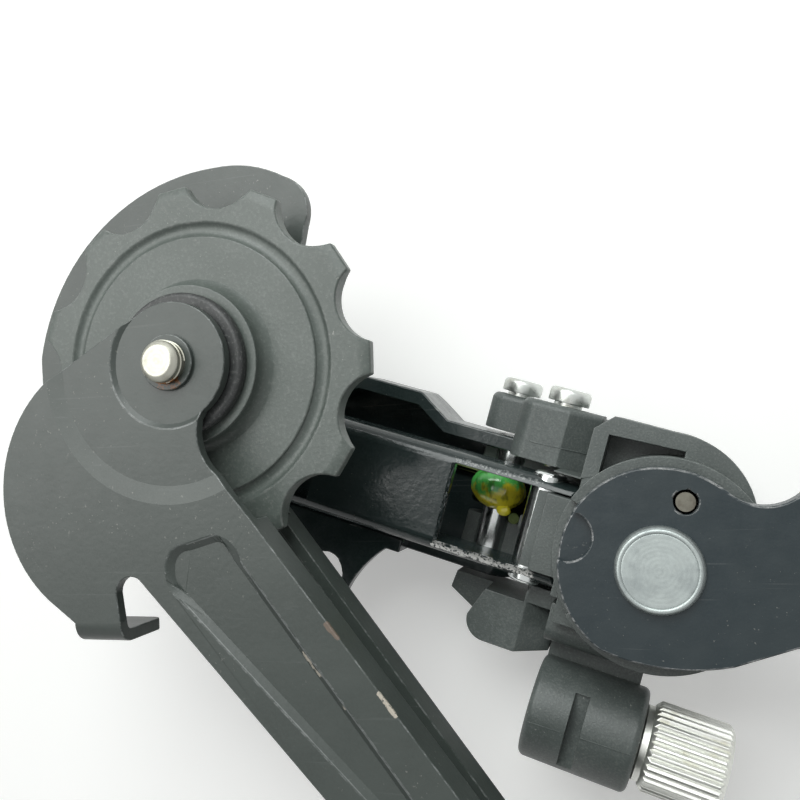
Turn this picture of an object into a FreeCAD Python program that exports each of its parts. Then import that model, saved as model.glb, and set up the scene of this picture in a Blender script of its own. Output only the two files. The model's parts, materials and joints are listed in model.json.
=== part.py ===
import FreeCAD, Part
import math
import os
from FreeCAD import Placement, Rotation, Vector

# Rear derailleur with its bolt-on hanger, in millimetres.
# Each piece is drawn lying flat: x is up on the bicycle, y is forward, z is towards the wheel.
# The origin is the wheel axle's centre in the hanger slot, on the hanger face that meets the frame.

# Shared fits
running_clearance = 0.05
open_pivot_clearance = 0.3
moving_gap = 0.4
thread_radius = 2.5

# Hanger bracket
hanger_thickness = 3.0
pivot_drop = 32.0
pivot_disc_radius = 12.2
head_radius = 17.7
neck_fillet = 5.94
axle_slot_half = 5.1
tail_reach = 24.0
tail_radius = 8.0
tail_shift = 2.0
frame_bolt_radius = 3.2
arm_half_width = 9.0
heel_depth = 11.3
stop_radius = 3.1
stop_press = 1.2
stop_angle = 159.0

# Pivot rivet and upper pivot spring
rivet_head_radius = 5.3
rivet_head_height = 1.1
rivet_shank_radius = 4.0
pivot_axle_radius = 5.0
pivot_cap_radius = 8.5
pivot_cap_height = 2.2
upper_spring_radius = 8.7
upper_spring_wire = 1.15
upper_spring_turns = 2.25
upper_spring_pitch = 2.9
upper_spring_angle = 67.0
upper_spring_hole = 1.45
upper_spring_leg = 4.0
spring_top_room = 1.6

# Link frame: its origin is the inner link's upper pin, x runs along the links away from the pulleys
link_lean = -18.0
pivot_along = 16.42
pivot_across = 0.92
pin_depth = -11.0
link_length = 45.0
outer_pin_shift = 8.0
link_spacing = 13.0
pin_radius = 2.3

# Inner link
inner_half_width = 7.0
inner_sheet = 1.5
inner_web_height = 3.0
inner_end_radius = 4.4
inner_bend = 2.0
window_length = 12.6
pin_stand_out = 0.6

# Outer link
outer_half_width = 10.2
outer_sheet = 2.0
outer_web_drop = 4.5
outer_end_radius = 5.0
hump_height = 3.1
hump_start = 18.0
hump_end = 38.0
hump_ramp = 5.0
cable_arm_top = -3.5
cable_arm_reach = 27.5
cable_arm_hole = 2.9
cable_bolt_setback = 4.0
cable_bolt_across = 20.0
cable_arm_overhang = 7.0
arm_hole_along = 29.3
arm_hole_across = 16.3
clamp_half_length = 5.0
clamp_low = 6.5
clamp_high = 4.5
clamp_thickness = 1.6
clamp_corner = 1.8
cable_groove_radius = 0.7
cable_groove_offset = 4.2
cable_bolt_head = 4.6
cable_bolt_head_height = 3.6
cable_bolt_stand_out = 1.2

# Upper knuckle
barrel_radius = 13.4
barrel_depth = 21.1
spring_pocket_inner = 6.9
spring_pocket_outer = 10.9
spring_pocket_depth = 11.0
saddle_face = 4.0
saddle_top = 17.2
saddle_left = 0.6
saddle_shoulder = 4.1
saddle_corner = 2.2
recess_border = 2.1
recess_depth = 5.0
tower_top = 16.7
tower_left = -7.0
tower_face = -2.0
tower_split = -10.0
tower_slope = 3.0
tower_round = 2.4
tower_edge_round = 1.0
back_tower_left = -13.0
back_tower_top = 16.3
back_tower_face = -17.4
block_left = -6.6
block_bottom = 18.0
block_corner = 3.0
wing_left = -10.6
wing_face = -8.0
lug_radius = 4.2
lug_gap = 0.3
link_room = 0.6
cable_axis_across = -24.0
cable_axis_depth = -3.0
cable_boss_radius = 7.0
cable_boss_start = 5.2
cable_boss_end = 19.9
cable_boss_round = 0.9
cable_web_width = 6.0
cable_web_drop = 1.0
cable_lip_edge = -14.4
cable_lip_face = 1.0
cable_lip_round = 2.0
cable_slit_start = 10.7
cable_slit_width = 1.9

# Limit screws
screw_radius = 2.0
screw_head_radius = 2.95
screw_head_height = 2.0
front_screw = (-1.0, -6.0)
front_screw_tip = 7.8
back_screw = (-9.0, -13.0)
back_screw_tip = 11.8
screw_stand_off = 0.5

# Barrel adjuster
barrel_head_radius = 6.0
barrel_head_length = 10.2
barrel_collar_radius = 5.0
barrel_collar_length = 0.9
barrel_ridges = 36
barrel_ridge_depth = 0.4
housing_radius = 2.6
housing_depth = 7.5
cable_hole_radius = 1.0

# Return spring on the outer upper pin
return_spring_radius = 3.5
return_spring_wire = 0.8
return_spring_turns = 2.25
return_spring_pitch = 1.9
return_spring_start = -1.0
return_spring_short_leg = 5.5
return_spring_long_leg = 9.0

# Lower knuckle and cage pivot
cage_pivot_setback = 17.0
cage_pivot_across = 3.0
lower_barrel_radius = 11.5
lower_barrel_top = 0.2
lower_barrel_length = 18.5
lower_lug_radius = 4.0
cage_axle_radius = 5.0
cage_axle_head = 7.0
cage_axle_head_height = 2.4
cage_axle_socket = 2.9
cage_rivet_radius = 5.4
cage_rivet_height = 0.9
lower_pocket_inner = 6.7
lower_pocket_outer = 9.7
lower_pocket_depth = 11.0
lower_wall = 3.0
cage_spring_radius = 8.2
cage_spring_wire = 0.9
cage_spring_turns = 2.25
cage_spring_pitch = 2.4
cage_spring_angle = 150.0
cage_spring_leg = 5.0
stop_pin_circle = 14.2
stop_pin_radius = 1.8
stop_pin_length = 5.2
stop_rivet_radius = 1.2
stop_pin_angle = -20.0
stop_lug_angle = 16.8
stop_lug_half = 2.0

# Cage, drawn about the guide pulley's axis
guide_along = 17.6
guide_across = 6.9
tension_along = 48.3
tension_across = -75.9
outer_plate_face = 0.7
plate_thickness = 1.5
bush_start = 3.0
bush_end = 15.0
boss_radius = 7.4
axle_end_radius = 11.0
boss_press = 0.8
step_radius = 17.0
step_press = 0.4
step_ramp = 2.2
panel_press = 0.7
panel_slope = 0.9
collar_radius = 3.4
collar_height = 0.6
tab_edge = -33.6
tab_left = -13.8
tab_right = -7.3
tab_bend = 2.4
inner_flange_height = 3.0
inner_flange_length = 46.0
outer_flange_height = 2.8
outer_flange_length = 50.0
tab_depth = 9.3
bolt_stand_out = 2.8
pulley_bolt_head = 4.5
pulley_bolt_height = 2.4

# Pulleys
pulley_teeth = 11
pulley_tip_radius = 23.4
pulley_root_radius = 20.2
pulley_tip_half_angle = 4.97
pulley_first_tooth = 162.53
tooth_half_thickness = 1.2
groove_middle = 17.5
groove_half = 0.9
groove_depth = 0.4
disc_rise = 0.3
hub_radius = 10.0
hub_half_length = 4.2
bush_radius = 4.25
cap_radius = 8.8
cap_thickness = 1.4
cap_gap = 0.2

# Places worked out from the sizes above
pivot = (-pivot_drop, 0.0)
cage_pivot_along = -link_length - cage_pivot_setback
cable_bolt_along = link_length - cable_bolt_setback
lean = math.radians(link_lean)
link_origin_x = pivot[0] - pivot_along * math.cos(lean) + pivot_across * math.sin(lean)
link_origin_y = pivot[1] - pivot_along * math.sin(lean) - pivot_across * math.cos(lean)
LINK = Placement(Vector(link_origin_x, link_origin_y, pin_depth), Rotation(Vector(0, 0, 1), link_lean))
guide_local = Vector(cage_pivot_along + guide_along, cage_pivot_across + guide_across, -pin_depth)
GUIDE = Placement(LINK.multVec(guide_local), Rotation())
STAND_UP = Placement(Vector(0, 0, 0), Rotation(Vector(1, 1, 1), -120))
outer_pin_x = -outer_pin_shift
outer_pin_z = -link_spacing
outer_web_z = outer_pin_z - outer_web_drop
inner_lug_half = inner_half_width - inner_sheet - lug_gap
outer_lug_half = outer_half_width - outer_sheet - lug_gap
tower_bottom = inner_half_width + 1.3
tower_clear = outer_half_width + link_room
saddle_back = outer_pin_z - 0.5
barrel_top_z = -hanger_thickness - moving_gap - pin_depth
lower_top_z = lower_barrel_top - pin_depth
pulley_middle = (bush_start + bush_end) / 2
tension = (tension_along, tension_across)


def on_circle(center, radius, degrees):
    angle = math.radians(degrees)
    return (center[0] + radius * math.cos(angle), center[1] + radius * math.sin(angle))


def towards(start, end, distance):
    share = distance / math.dist(start, end)
    return (start[0] + (end[0] - start[0]) * share, start[1] + (end[1] - start[1]) * share)


def middle(first, second):
    return ((first[0] + second[0]) / 2, (first[1] + second[1]) / 2)


def circles_meet(first, first_radius, second, second_radius):
    """The crossing of two circles that lies on the left when going from the first to the second."""
    span = math.dist(first, second)
    along = (first_radius ** 2 - second_radius ** 2 + span ** 2) / (2 * span)
    across = math.sqrt(first_radius ** 2 - along ** 2)
    ux = (second[0] - first[0]) / span
    uy = (second[1] - first[1]) / span
    return (first[0] + along * ux - across * uy, first[1] + along * uy + across * ux)


def face_of(steps):
    """Flat face; each step is a point for a straight line, or a pair (through, end) for an arc."""
    first = Vector(steps[0][0], steps[0][1], 0)
    here = first
    edges = []
    for step in steps[1:]:
        if isinstance(step[0], tuple):
            there = Vector(step[1][0], step[1][1], 0)
            edges.append(Part.Arc(here, Vector(step[0][0], step[0][1], 0), there).toShape())
        else:
            there = Vector(step[0], step[1], 0)
            edges.append(Part.makeLine(here, there))
        here = there
    if here.distanceToPoint(first) > 1e-6:
        edges.append(Part.makeLine(here, first))
    return Part.Face(Part.Wire(edges))


def plate(steps, low, high):
    """Outline in x and y, standing between two depths."""
    solid = face_of(steps).extrude(Vector(0, 0, high - low))
    solid.translate(Vector(0, 0, low))
    return solid


def side(steps, low, high):
    """Outline in x and z, standing between two values of y."""
    solid = plate(steps, -high, -low)
    solid.rotate(Vector(0, 0, 0), Vector(1, 0, 0), 90)
    return solid


def channel(steps, low, high):
    """Outline in y and z, standing between two values of x."""
    solid = plate(steps, low, high)
    solid.rotate(Vector(0, 0, 0), Vector(1, 1, 1), 120)
    return solid


def lathe(steps, center=(0.0, 0.0)):
    """Turned piece about an axis along z, from a half outline of (radius, depth) steps."""
    face = face_of(steps)
    face.rotate(Vector(0, 0, 0), Vector(1, 0, 0), 90)
    solid = face.revolve(Vector(0, 0, 0), Vector(0, 0, 1), 360)
    solid.translate(Vector(center[0], center[1], 0))
    return solid


def upright(radius, center, low, high):
    """Round piece along z."""
    return Part.makeCylinder(radius, high - low, Vector(center[0], center[1], low))


def crosswise(radius, x, z, low, high):
    """Round piece along y."""
    return Part.makeCylinder(radius, high - low, Vector(x, low, z), Vector(0, 1, 0))


def lengthwise(radius, y, z, low, high):
    """Round piece along x."""
    return Part.makeCylinder(radius, high - low, Vector(low, y, z), Vector(1, 0, 0))


def block(low, high):
    size = [end - start for start, end in zip(low, high)]
    return Part.makeBox(size[0], size[1], size[2], Vector(*low))


def joined(shapes):
    return shapes[0].multiFuse(shapes[1:]).removeSplitter()


def without(shape, cutters):
    for cutter in cutters:
        shape = shape.cut(cutter)
    return shape


def rounded(shape, radius, wanted):
    """Round the edges whose middle point passes the test."""
    edges = [edge for edge in shape.Edges if wanted(edge)]
    return shape.makeFillet(radius, edges)


def mid_point(edge):
    return edge.valueAt((edge.FirstParameter + edge.LastParameter) / 2)


def runs_along(edge, axis):
    """True for a straight edge along the axis."""
    if edge.Curve.TypeId != "Part::GeomLine":
        return False
    return abs(edge.tangentAt(edge.FirstParameter).dot(axis)) > 0.999


def placed(shape, place):
    moved = shape.copy()
    moved.Placement = place.multiply(moved.Placement)
    return moved


def coil(radius, wire, turns, pitch):
    """Coil about z whose lower end lies on the x axis."""
    helix = Part.Wire(Part.makeHelix(pitch, pitch * turns, radius))
    ring = Part.Wire(Part.makeCircle(wire, Vector(radius, 0, 0), Vector(0, 1, 0)))
    return helix.makePipeShell([ring], True, True)


def sprung_coil(radius, wire, turns, pitch, up_length, down_length):
    """Coil with a leg along its axis at each end; the upper end lies on the x axis."""
    start_angle = -360.0 * turns
    body = coil(radius, wire, turns, pitch)
    body.rotate(Vector(0, 0, 0), Vector(0, 0, 1), start_angle)
    start = on_circle((0, 0), radius, start_angle)
    top = pitch * turns
    upper = upright(wire, (radius, 0), top, top + up_length)
    lower = upright(wire, start, -down_length, 0)
    knuckle_top = Part.makeSphere(wire, Vector(radius, 0, top))
    knuckle_low = Part.makeSphere(wire, Vector(start[0], start[1], 0))
    return joined([body, knuckle_top, upper, knuckle_low, lower])


# Hanger bracket and its rivet

def hanger_outline():
    fillet = circles_meet(pivot, pivot_disc_radius + neck_fillet, (0.0, 0.0), head_radius + neck_fillet)
    neck_start = towards(pivot, fillet, pivot_disc_radius)
    neck_end = towards((0.0, 0.0), fillet, head_radius)
    neck_low = towards(fillet, middle(neck_start, neck_end), neck_fillet)
    lip = math.sqrt(head_radius ** 2 - axle_slot_half ** 2)
    head_angle = math.degrees(math.atan2(neck_end[1], neck_end[0]))
    lip_angle = math.degrees(math.atan2(lip, -axle_slot_half))
    tail_y = -tail_reach
    left = tail_shift - tail_radius
    arm_x = -pivot_drop + pivot_disc_radius + 2.4
    return [
        neck_start,
        (neck_low, neck_end),
        (on_circle((0, 0), head_radius, (head_angle + lip_angle) / 2), (-axle_slot_half, lip)),
        (-axle_slot_half, 0.0),
        ((0.0, -axle_slot_half), (axle_slot_half, 0.0)),
        (axle_slot_half, lip),
        (on_circle((0, 0), head_radius, 15), on_circle((0, 0), head_radius, -40)),
        (tail_shift + tail_radius, tail_y),
        ((tail_shift, tail_y - tail_radius), (left, tail_y)),
        (left - 1.5, tail_y + 6.0),
        ((left - 4.2, -arm_half_width - 2.4), (arm_x, -arm_half_width)),
        (-pivot_drop + 7.7, -heel_depth),
        ((-pivot_drop - 0.5, -heel_depth - 0.3), on_circle(pivot, pivot_disc_radius, 232)),
        (on_circle(pivot, pivot_disc_radius, 170), neck_start),
    ]


def hanger_bracket():
    body = plate(hanger_outline(), -hanger_thickness, 0)
    stop_place = on_circle(pivot, pivot_disc_radius - 0.6, stop_angle)
    pressed = upright(stop_radius, stop_place, -hanger_thickness - stop_press, -stop_press)
    pressed = pressed.common(plate(hanger_outline(), -hanger_thickness - stop_press, 0))
    body = body.cut(upright(stop_radius, stop_place, -stop_press, 1))
    body = joined([body, pressed])
    leg_place = on_circle(pivot, upper_spring_radius, upper_spring_angle)
    return without(body, [
        upright(rivet_shank_radius, pivot, -hanger_thickness - 1, 1),
        upright(upper_spring_hole, leg_place, -hanger_thickness - 1, 1),
        upright(frame_bolt_radius, (tail_shift, -tail_reach), -hanger_thickness - 1, 1),
    ])


def pivot_rivet():
    bottom = -hanger_thickness - moving_gap * 2 - barrel_depth
    cap_end = bottom - pivot_cap_height
    return lathe([
        (0, rivet_head_height),
        (rivet_head_radius - 1.0, rivet_head_height),
        ((rivet_head_radius - 0.3, rivet_head_height - 0.3), (rivet_head_radius, rivet_head_height - 0.8)),
        (rivet_head_radius, 0),
        (rivet_shank_radius, 0),
        (rivet_shank_radius, -hanger_thickness),
        (pivot_axle_radius, -hanger_thickness),
        (pivot_axle_radius, bottom),
        (pivot_cap_radius, bottom),
        (pivot_cap_radius, cap_end + 0.8),
        ((pivot_cap_radius - 0.24, cap_end + 0.24), (pivot_cap_radius - 0.8, cap_end)),
        (3.5, cap_end),
        (3.0, cap_end + 0.8),
        (0, cap_end + 0.8),
    ], pivot)


def upper_pivot_spring():
    top = -hanger_thickness - moving_gap - spring_top_room
    height = upper_spring_pitch * upper_spring_turns
    spring = sprung_coil(upper_spring_radius, upper_spring_wire, upper_spring_turns, upper_spring_pitch,
                         0.3 - top, upper_spring_leg)
    spring.rotate(Vector(0, 0, 0), Vector(0, 0, 1), upper_spring_angle)
    spring.translate(Vector(pivot[0], pivot[1], top - height))
    return spring


# Upper knuckle, drawn in the link frame

def saddle():
    """The body between the pivot barrel and the links, with its flat top and sunk corner."""
    center = (pivot_along, pivot_across)
    body = plate([
        (saddle_left, -tower_clear),
        (saddle_left, tower_bottom),
        (saddle_shoulder, tower_bottom),
        (saddle_shoulder, saddle_top - saddle_corner),
        (saddle_shoulder + saddle_corner, saddle_top),
        (pivot_along - 2.0, saddle_top),
        (on_circle(center, barrel_radius + 2.1, 72), on_circle(center, barrel_radius, 46)),
        center,
        (pivot_along, -tower_clear),
    ], saddle_back, saddle_face)
    recess_left = saddle_shoulder + recess_border
    recess_top = saddle_top - recess_border
    recess = plate([
        (recess_left, recess_top - 0.4),
        (pivot_along - 0.6, recess_top),
        (pivot_along - 0.6, pivot_across),
        (recess_left, recess_top - 6.2),
    ], saddle_face - recess_depth, saddle_face + 1)
    recess = recess.cut(upright(barrel_radius, center, saddle_face - recess_depth - 1, saddle_face + 2))
    low_corner = block((saddle_left - 1, -tower_clear - 1, tower_face),
                       (saddle_shoulder + 1.2, -inner_half_width - link_room, saddle_face + 1))
    return without(body, [recess, low_corner])


def towers():
    """The two bosses that carry the limit screws."""
    upright_axis = Vector(0, 1, 0)
    right = saddle_shoulder + 0.2
    front = side([
        (tower_left, tower_split - 1),
        (tower_left, tower_face),
        (0.0, tower_face),
        (right, tower_face - tower_slope),
        (right, tower_split - 1),
    ], tower_bottom, tower_top)
    link_way = outer_pin_z + outer_end_radius + 1.6
    front = front.cut(block((tower_left - 1, tower_bottom - 1, tower_split - 2),
                            (right - 0.1, tower_clear, link_way)))
    front = rounded(front, tower_round, lambda edge: runs_along(edge, upright_axis)
                    and mid_point(edge).x < tower_left + 0.1 and mid_point(edge).z > tower_face - 0.1)
    front = rounded(front, tower_edge_round, lambda edge: abs(mid_point(edge).y - tower_top) < 0.01
                    and mid_point(edge).z > tower_split and mid_point(edge).x < right - 0.1)
    back = block((back_tower_left, tower_clear, back_tower_face), (right, back_tower_top, tower_split))
    back = rounded(back, tower_round, lambda edge: runs_along(edge, upright_axis)
                   and mid_point(edge).x < back_tower_left + 0.1)
    back = rounded(back, tower_edge_round, lambda edge: abs(mid_point(edge).y - back_tower_top) < 0.01
                   and mid_point(edge).x < tower_left)
    return [front, back]


def lower_block():
    """The moulded block below the links, with a deeper wing towards the pulleys."""
    right = saddle_shoulder + 1.2
    corner = block_corner * (1 - math.sqrt(0.5))
    near = plate([
        (saddle_left, 2.4 - tower_clear),
        (saddle_left, -tower_clear),
        (block_left + 1.6, -tower_clear),
        (block_left, block_corner - block_bottom),
        ((block_left + corner, corner - block_bottom), (block_left + block_corner, -block_bottom)),
        (0.8, -block_bottom),
        (right, 1.0 - block_bottom),
        (right, 2.4 - tower_clear),
    ], saddle_back, tower_face)
    slope = side([
        (1.0, tower_face + 1),
        (1.0, tower_face),
        (right + 0.1, tower_face - tower_slope),
        (right + 0.1, tower_face + 1),
    ], -block_bottom - 1, 0)
    wing = plate([
        (wing_left, -tower_clear),
        (wing_left - 0.3, -tower_clear - 2.6),
        (block_left, block_corner - block_bottom - 0.6),
        (0.0, -tower_clear - 1),
        (0.0, -tower_clear),
    ], saddle_back, wing_face)
    return joined([near.cut(slope), wing])


def pin_lugs():
    """The two open bearings that hold the upper link pins."""
    right = saddle_left + 4.4
    inner = block((-0.8, -inner_lug_half, -6.0), (right, inner_lug_half, saddle_face - 1.4))
    round_low = lug_radius * math.sqrt(0.5)
    outer = side([
        (outer_pin_x, outer_pin_z - lug_radius),
        (right, outer_pin_z - lug_radius),
        (right, outer_pin_z + 0.8),
        (outer_pin_x - lug_radius + 0.1, outer_pin_z + 0.8),
        ((outer_pin_x - round_low, outer_pin_z - round_low), (outer_pin_x, outer_pin_z - lug_radius)),
    ], -outer_lug_half, outer_lug_half)
    spring_out = return_spring_radius + return_spring_wire
    pocket_low = return_spring_start - return_spring_wire - 0.5
    pocket_high = return_spring_start + return_spring_pitch * return_spring_turns + return_spring_wire + 0.5
    outer = outer.cut(crosswise(spring_out + 0.6, outer_pin_x, outer_pin_z, pocket_low, pocket_high))
    leg_x = outer_pin_x + spring_out
    rib = block((leg_x + 0.1, return_spring_start - 0.9, outer_pin_z + 1.4),
                (saddle_left + 0.4, return_spring_start + 0.9, outer_pin_z + 6.0))
    return [inner, outer, rib]


def cable_stop():
    """The boss that the barrel adjuster screws into, with its web to the knuckle."""
    boss = lengthwise(cable_boss_radius, cable_axis_across, cable_axis_depth,
                      cable_boss_start, cable_boss_end)
    boss = rounded(boss, cable_boss_round, lambda edge: edge.Curve.TypeId == "Part::GeomCircle")
    web = block((cable_boss_start + 0.3, cable_axis_across, cable_axis_depth - cable_web_width),
                (cable_boss_end - 1.6, 1.8 - tower_clear, cable_axis_depth - cable_web_drop))
    lip = block((cable_boss_start - 0.6, cable_lip_edge, cable_axis_depth - cable_web_width),
                (cable_boss_end - 1.6, 1.8 - tower_clear, cable_lip_face))
    lip = rounded(lip, cable_lip_round, lambda edge: runs_along(edge, Vector(1, 0, 0))
                  and mid_point(edge).y < cable_lip_edge + 0.1 and mid_point(edge).z > cable_lip_face - 0.1)
    boss_face = cable_axis_depth + cable_boss_radius
    slit = block((cable_slit_start, cable_axis_across - cable_boss_radius + 1, boss_face - 2.4),
                 (cable_slit_start + cable_slit_width, cable_axis_across + 4.8, boss_face + 1))
    return joined([boss, web, lip]).cut(slit)


def upper_knuckle():
    center = (pivot_along, pivot_across)
    bottom = barrel_top_z - barrel_depth
    barrel = upright(barrel_radius, center, bottom, barrel_top_z)
    body = joined([barrel, saddle(), *towers(), lower_block(), *pin_lugs(), cable_stop()])
    pocket = upright(spring_pocket_outer, center, barrel_top_z - spring_pocket_depth, barrel_top_z + 1)
    pocket = pocket.cut(upright(spring_pocket_inner, center, bottom, barrel_top_z + 2))
    leg_angle = upper_spring_angle - link_lean - 360.0 * upper_spring_turns
    leg_hole = upright(upper_spring_wire + 0.2, on_circle(center, upper_spring_radius, leg_angle),
                       barrel_top_z - spring_pocket_depth - 4.5, barrel_top_z)
    stop_start = stop_angle - link_lean - 18.0
    track_base = Vector(center[0], center[1], barrel_top_z - stop_press - 0.1)
    track_height = stop_press + moving_gap + 1
    stop_track = Part.makeCylinder(pivot_disc_radius + 4.0, track_height, track_base, Vector(0, 0, 1), 66)
    stop_track.rotate(Vector(center[0], center[1], 0), Vector(0, 0, 1), stop_start)
    stop_track = stop_track.cut(upright(pivot_disc_radius - 4.4, center, -20, 20))
    slot_radius = math.hypot(inner_end_radius, inner_web_height) + 0.5
    slot_start = inner_lug_half + 0.05
    slots = [crosswise(slot_radius, 0, 0, slot_start, tower_bottom - 0.05),
             crosswise(slot_radius, 0, 0, 0.05 - tower_bottom, -slot_start)]
    front_hole = crosswise(screw_radius + running_clearance, front_screw[0], front_screw[1], 5, 20)
    back_hole = crosswise(screw_radius + running_clearance, back_screw[0], back_screw[1], 8, 20)
    thread_hole = lengthwise(thread_radius + running_clearance, cable_axis_across, cable_axis_depth,
                             cable_boss_start + 2.3, cable_boss_end + 1)
    cable_hole = lengthwise(cable_hole_radius + 0.3, cable_axis_across, cable_axis_depth, 0, cable_boss_end)
    return without(body, [
        pocket,
        leg_hole,
        stop_track,
        upright(pivot_axle_radius + running_clearance, center, bottom - 1, barrel_top_z + 1),
        upright(pivot_cap_radius + moving_gap, center, bottom - barrel_depth, bottom),
        *slots,
        crosswise(pin_radius, 0, 0, -9, 8),
        crosswise(pin_radius, outer_pin_x, outer_pin_z, -10.5, 10.5),
        front_hole,
        back_hole,
        thread_hole,
        cable_hole,
    ])


def limit_screw(place, tip, top):
    """Pan head screw along y with a cross recess and a cone at its tip."""
    head_low = top + screw_stand_off
    head_high = head_low + screw_head_height
    cone = 1.2
    screw = lathe([
        (0, tip),
        (screw_radius - cone * 0.8, tip),
        (screw_radius, tip + cone),
        (screw_radius, head_low),
        (screw_head_radius, head_low),
        (screw_head_radius, head_high - 0.7),
        ((screw_head_radius - 0.2, head_high - 0.2), (screw_head_radius - 0.9, head_high)),
        (0, head_high),
    ])
    for angle in (0, 90):
        slot = block((-1.6, -0.4, head_high - 0.9), (1.6, 0.4, head_high + 1))
        slot.rotate(Vector(0, 0, 0), Vector(0, 0, 1), angle)
        screw = screw.cut(slot)
    screw.rotate(Vector(0, 0, 0), Vector(1, 0, 0), -90)
    screw.translate(Vector(place[0], 0, place[1]))
    return screw


def barrel_adjuster():
    """Knurled cable adjuster along x with the housing socket in its head."""
    collar_start = cable_boss_end + moving_gap / 2
    head_start = collar_start + barrel_collar_length
    head_end = head_start + barrel_head_length
    points = []
    for ridge in range(barrel_ridges):
        turn = 360.0 * ridge / barrel_ridges
        step = 360.0 / barrel_ridges
        points.append(on_circle((0, 0), barrel_head_radius, turn))
        points.append(on_circle((0, 0), barrel_head_radius, turn + step * 0.35))
        points.append(on_circle((0, 0), barrel_head_radius - barrel_ridge_depth, turn + step * 0.68))
    head = plate(points, head_start, head_end)
    edge_break = lathe([
        (0, head_start),
        (barrel_head_radius - 0.7, head_start),
        (barrel_head_radius + 0.1, head_start + 0.8),
        (barrel_head_radius + 0.1, head_end - 0.8),
        (barrel_head_radius - 0.7, head_end),
        (0, head_end),
    ])
    head = head.common(edge_break)
    collar = upright(barrel_collar_radius, (0, 0), collar_start, head_start)
    shank = upright(thread_radius, (0, 0), cable_boss_start + 3.3, collar_start)
    body = joined([head, collar, shank])
    body = without(body, [
        upright(housing_radius, (0, 0), head_end - housing_depth, head_end + 1),
        upright(cable_hole_radius, (0, 0), 0, head_end),
    ])
    body.rotate(Vector(0, 0, 0), Vector(0, 1, 0), 90)
    body.translate(Vector(0, cable_axis_across, cable_axis_depth))
    return body


# Links and their pins, drawn in the link frame

def inner_link():
    far = -link_length
    end = inner_end_radius
    slant = end * math.sqrt(0.5)
    top = inner_web_height
    wide = inner_half_width
    bend = inner_bend
    corner = bend * (1 - math.sqrt(0.5))
    section = channel([
        (-wide, -end),
        (-wide, top - bend),
        ((-wide + corner, top - corner), (-wide + bend, top)),
        (wide - bend, top),
        ((wide - corner, top - corner), (wide, top - bend)),
        (wide, -end),
        (wide - inner_sheet, -end),
        (wide - inner_sheet, top - inner_sheet),
        (inner_sheet - wide, top - inner_sheet),
        (inner_sheet - wide, -end),
    ], far - end, end)
    profile = side([
        (far, -end),
        (0, -end),
        ((slant, -slant), (end, 0)),
        (end, top - 1.5),
        ((end - 0.44, top - 0.44), (end - 1.5, top)),
        (far - end + 1.5, top),
        ((far - end + 0.44, top - 0.44), (far - end, top - 1.5)),
        (far - end, 0),
        ((far - slant, -slant), (far, -end)),
    ], -wide - 1, wide + 1)
    body = section.common(profile)
    gap = wide - inner_sheet
    return without(body, [
        block((-window_length, -gap, 0), (end + 1, gap, top + 1)),
        block((far - end - 1, -gap, 0), (far + window_length, gap, top + 1)),
        crosswise(pin_radius + running_clearance, 0, 0, -wide - 1, wide + 1),
        crosswise(pin_radius + open_pivot_clearance, far, 0, -wide - 1, wide + 1),
    ])


def outer_link_outline(inset, overrun):
    """Plan of the outer link with its hump, drawn in from the edge by the inset."""
    wide = outer_half_width - inset
    start = outer_pin_x + outer_end_radius + overrun
    end = outer_pin_x - link_length - outer_end_radius - overrun
    high = wide + hump_height
    return [
        (start, -wide),
        (start, wide),
        (-hump_start, wide),
        (-hump_start - hump_ramp, high),
        (hump_ramp - hump_end, high),
        (-hump_end, wide),
        (end, wide),
        (end, -wide),
    ]


def outer_link():
    far = outer_pin_x - link_length
    end = outer_end_radius
    back = outer_web_z - outer_sheet
    near = outer_pin_z + end - 0.5
    slant = end * math.sqrt(0.5)
    shell = plate(outer_link_outline(0, 0), back, near)
    shell = rounded(shell, 1.6, lambda edge: runs_along(edge, Vector(1, 0, 0))
                    and abs(mid_point(edge).z - back) < 0.01 and abs(mid_point(edge).y) > 5)
    shell = shell.cut(plate(outer_link_outline(outer_sheet, 5), outer_web_z, near + 1))
    profile = side([
        (far - end, back - 1),
        (outer_pin_x + end, back - 1),
        (outer_pin_x + end, outer_pin_z),
        ((outer_pin_x + slant, outer_pin_z + slant), (outer_pin_x, outer_pin_z + end)),
        (far, outer_pin_z + end),
        ((far - slant, outer_pin_z + slant), (far - end, outer_pin_z)),
    ], -30, 30)
    shell = shell.common(profile)
    low = cable_arm_top - outer_sheet
    flange = outer_sheet - outer_half_width
    arm_start = -hump_start - 0.8
    arm_end = -cable_bolt_along - cable_arm_overhang
    skirt = block((arm_end, -outer_half_width, near - 1), (arm_start, flange, cable_arm_top))
    bottom = -cable_arm_reach
    arm = plate([
        (arm_start, flange),
        ((arm_start - 4.7, flange - 5.6), (arm_start - 6.6, bottom + 8.0)),
        ((arm_start - 9.8, bottom + 2.0), (arm_start - 17.2, bottom)),
        (-cable_bolt_along, bottom),
        ((arm_end + 1.5, bottom + 2.0), (arm_end, bottom + cable_arm_overhang)),
        (arm_end, flange),
    ], low, cable_arm_top)
    body = joined([shell, skirt, arm])
    return without(body, [
        upright(cable_arm_hole, (-arm_hole_along, -arm_hole_across), low - 1, cable_arm_top + 1),
        upright(thread_radius, (-cable_bolt_along, -cable_bolt_across), low - 1, cable_arm_top + 1),
        crosswise(pin_radius + running_clearance, outer_pin_x, outer_pin_z, -20, 20),
        crosswise(pin_radius + running_clearance, far, outer_pin_z, -20, 20),
    ])


def link_pin(x, z, half_length):
    pin = crosswise(pin_radius, x, z, -half_length, half_length)
    return pin.makeChamfer(0.35, [edge for edge in pin.Edges if edge.Curve.TypeId == "Part::GeomCircle"])


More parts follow.
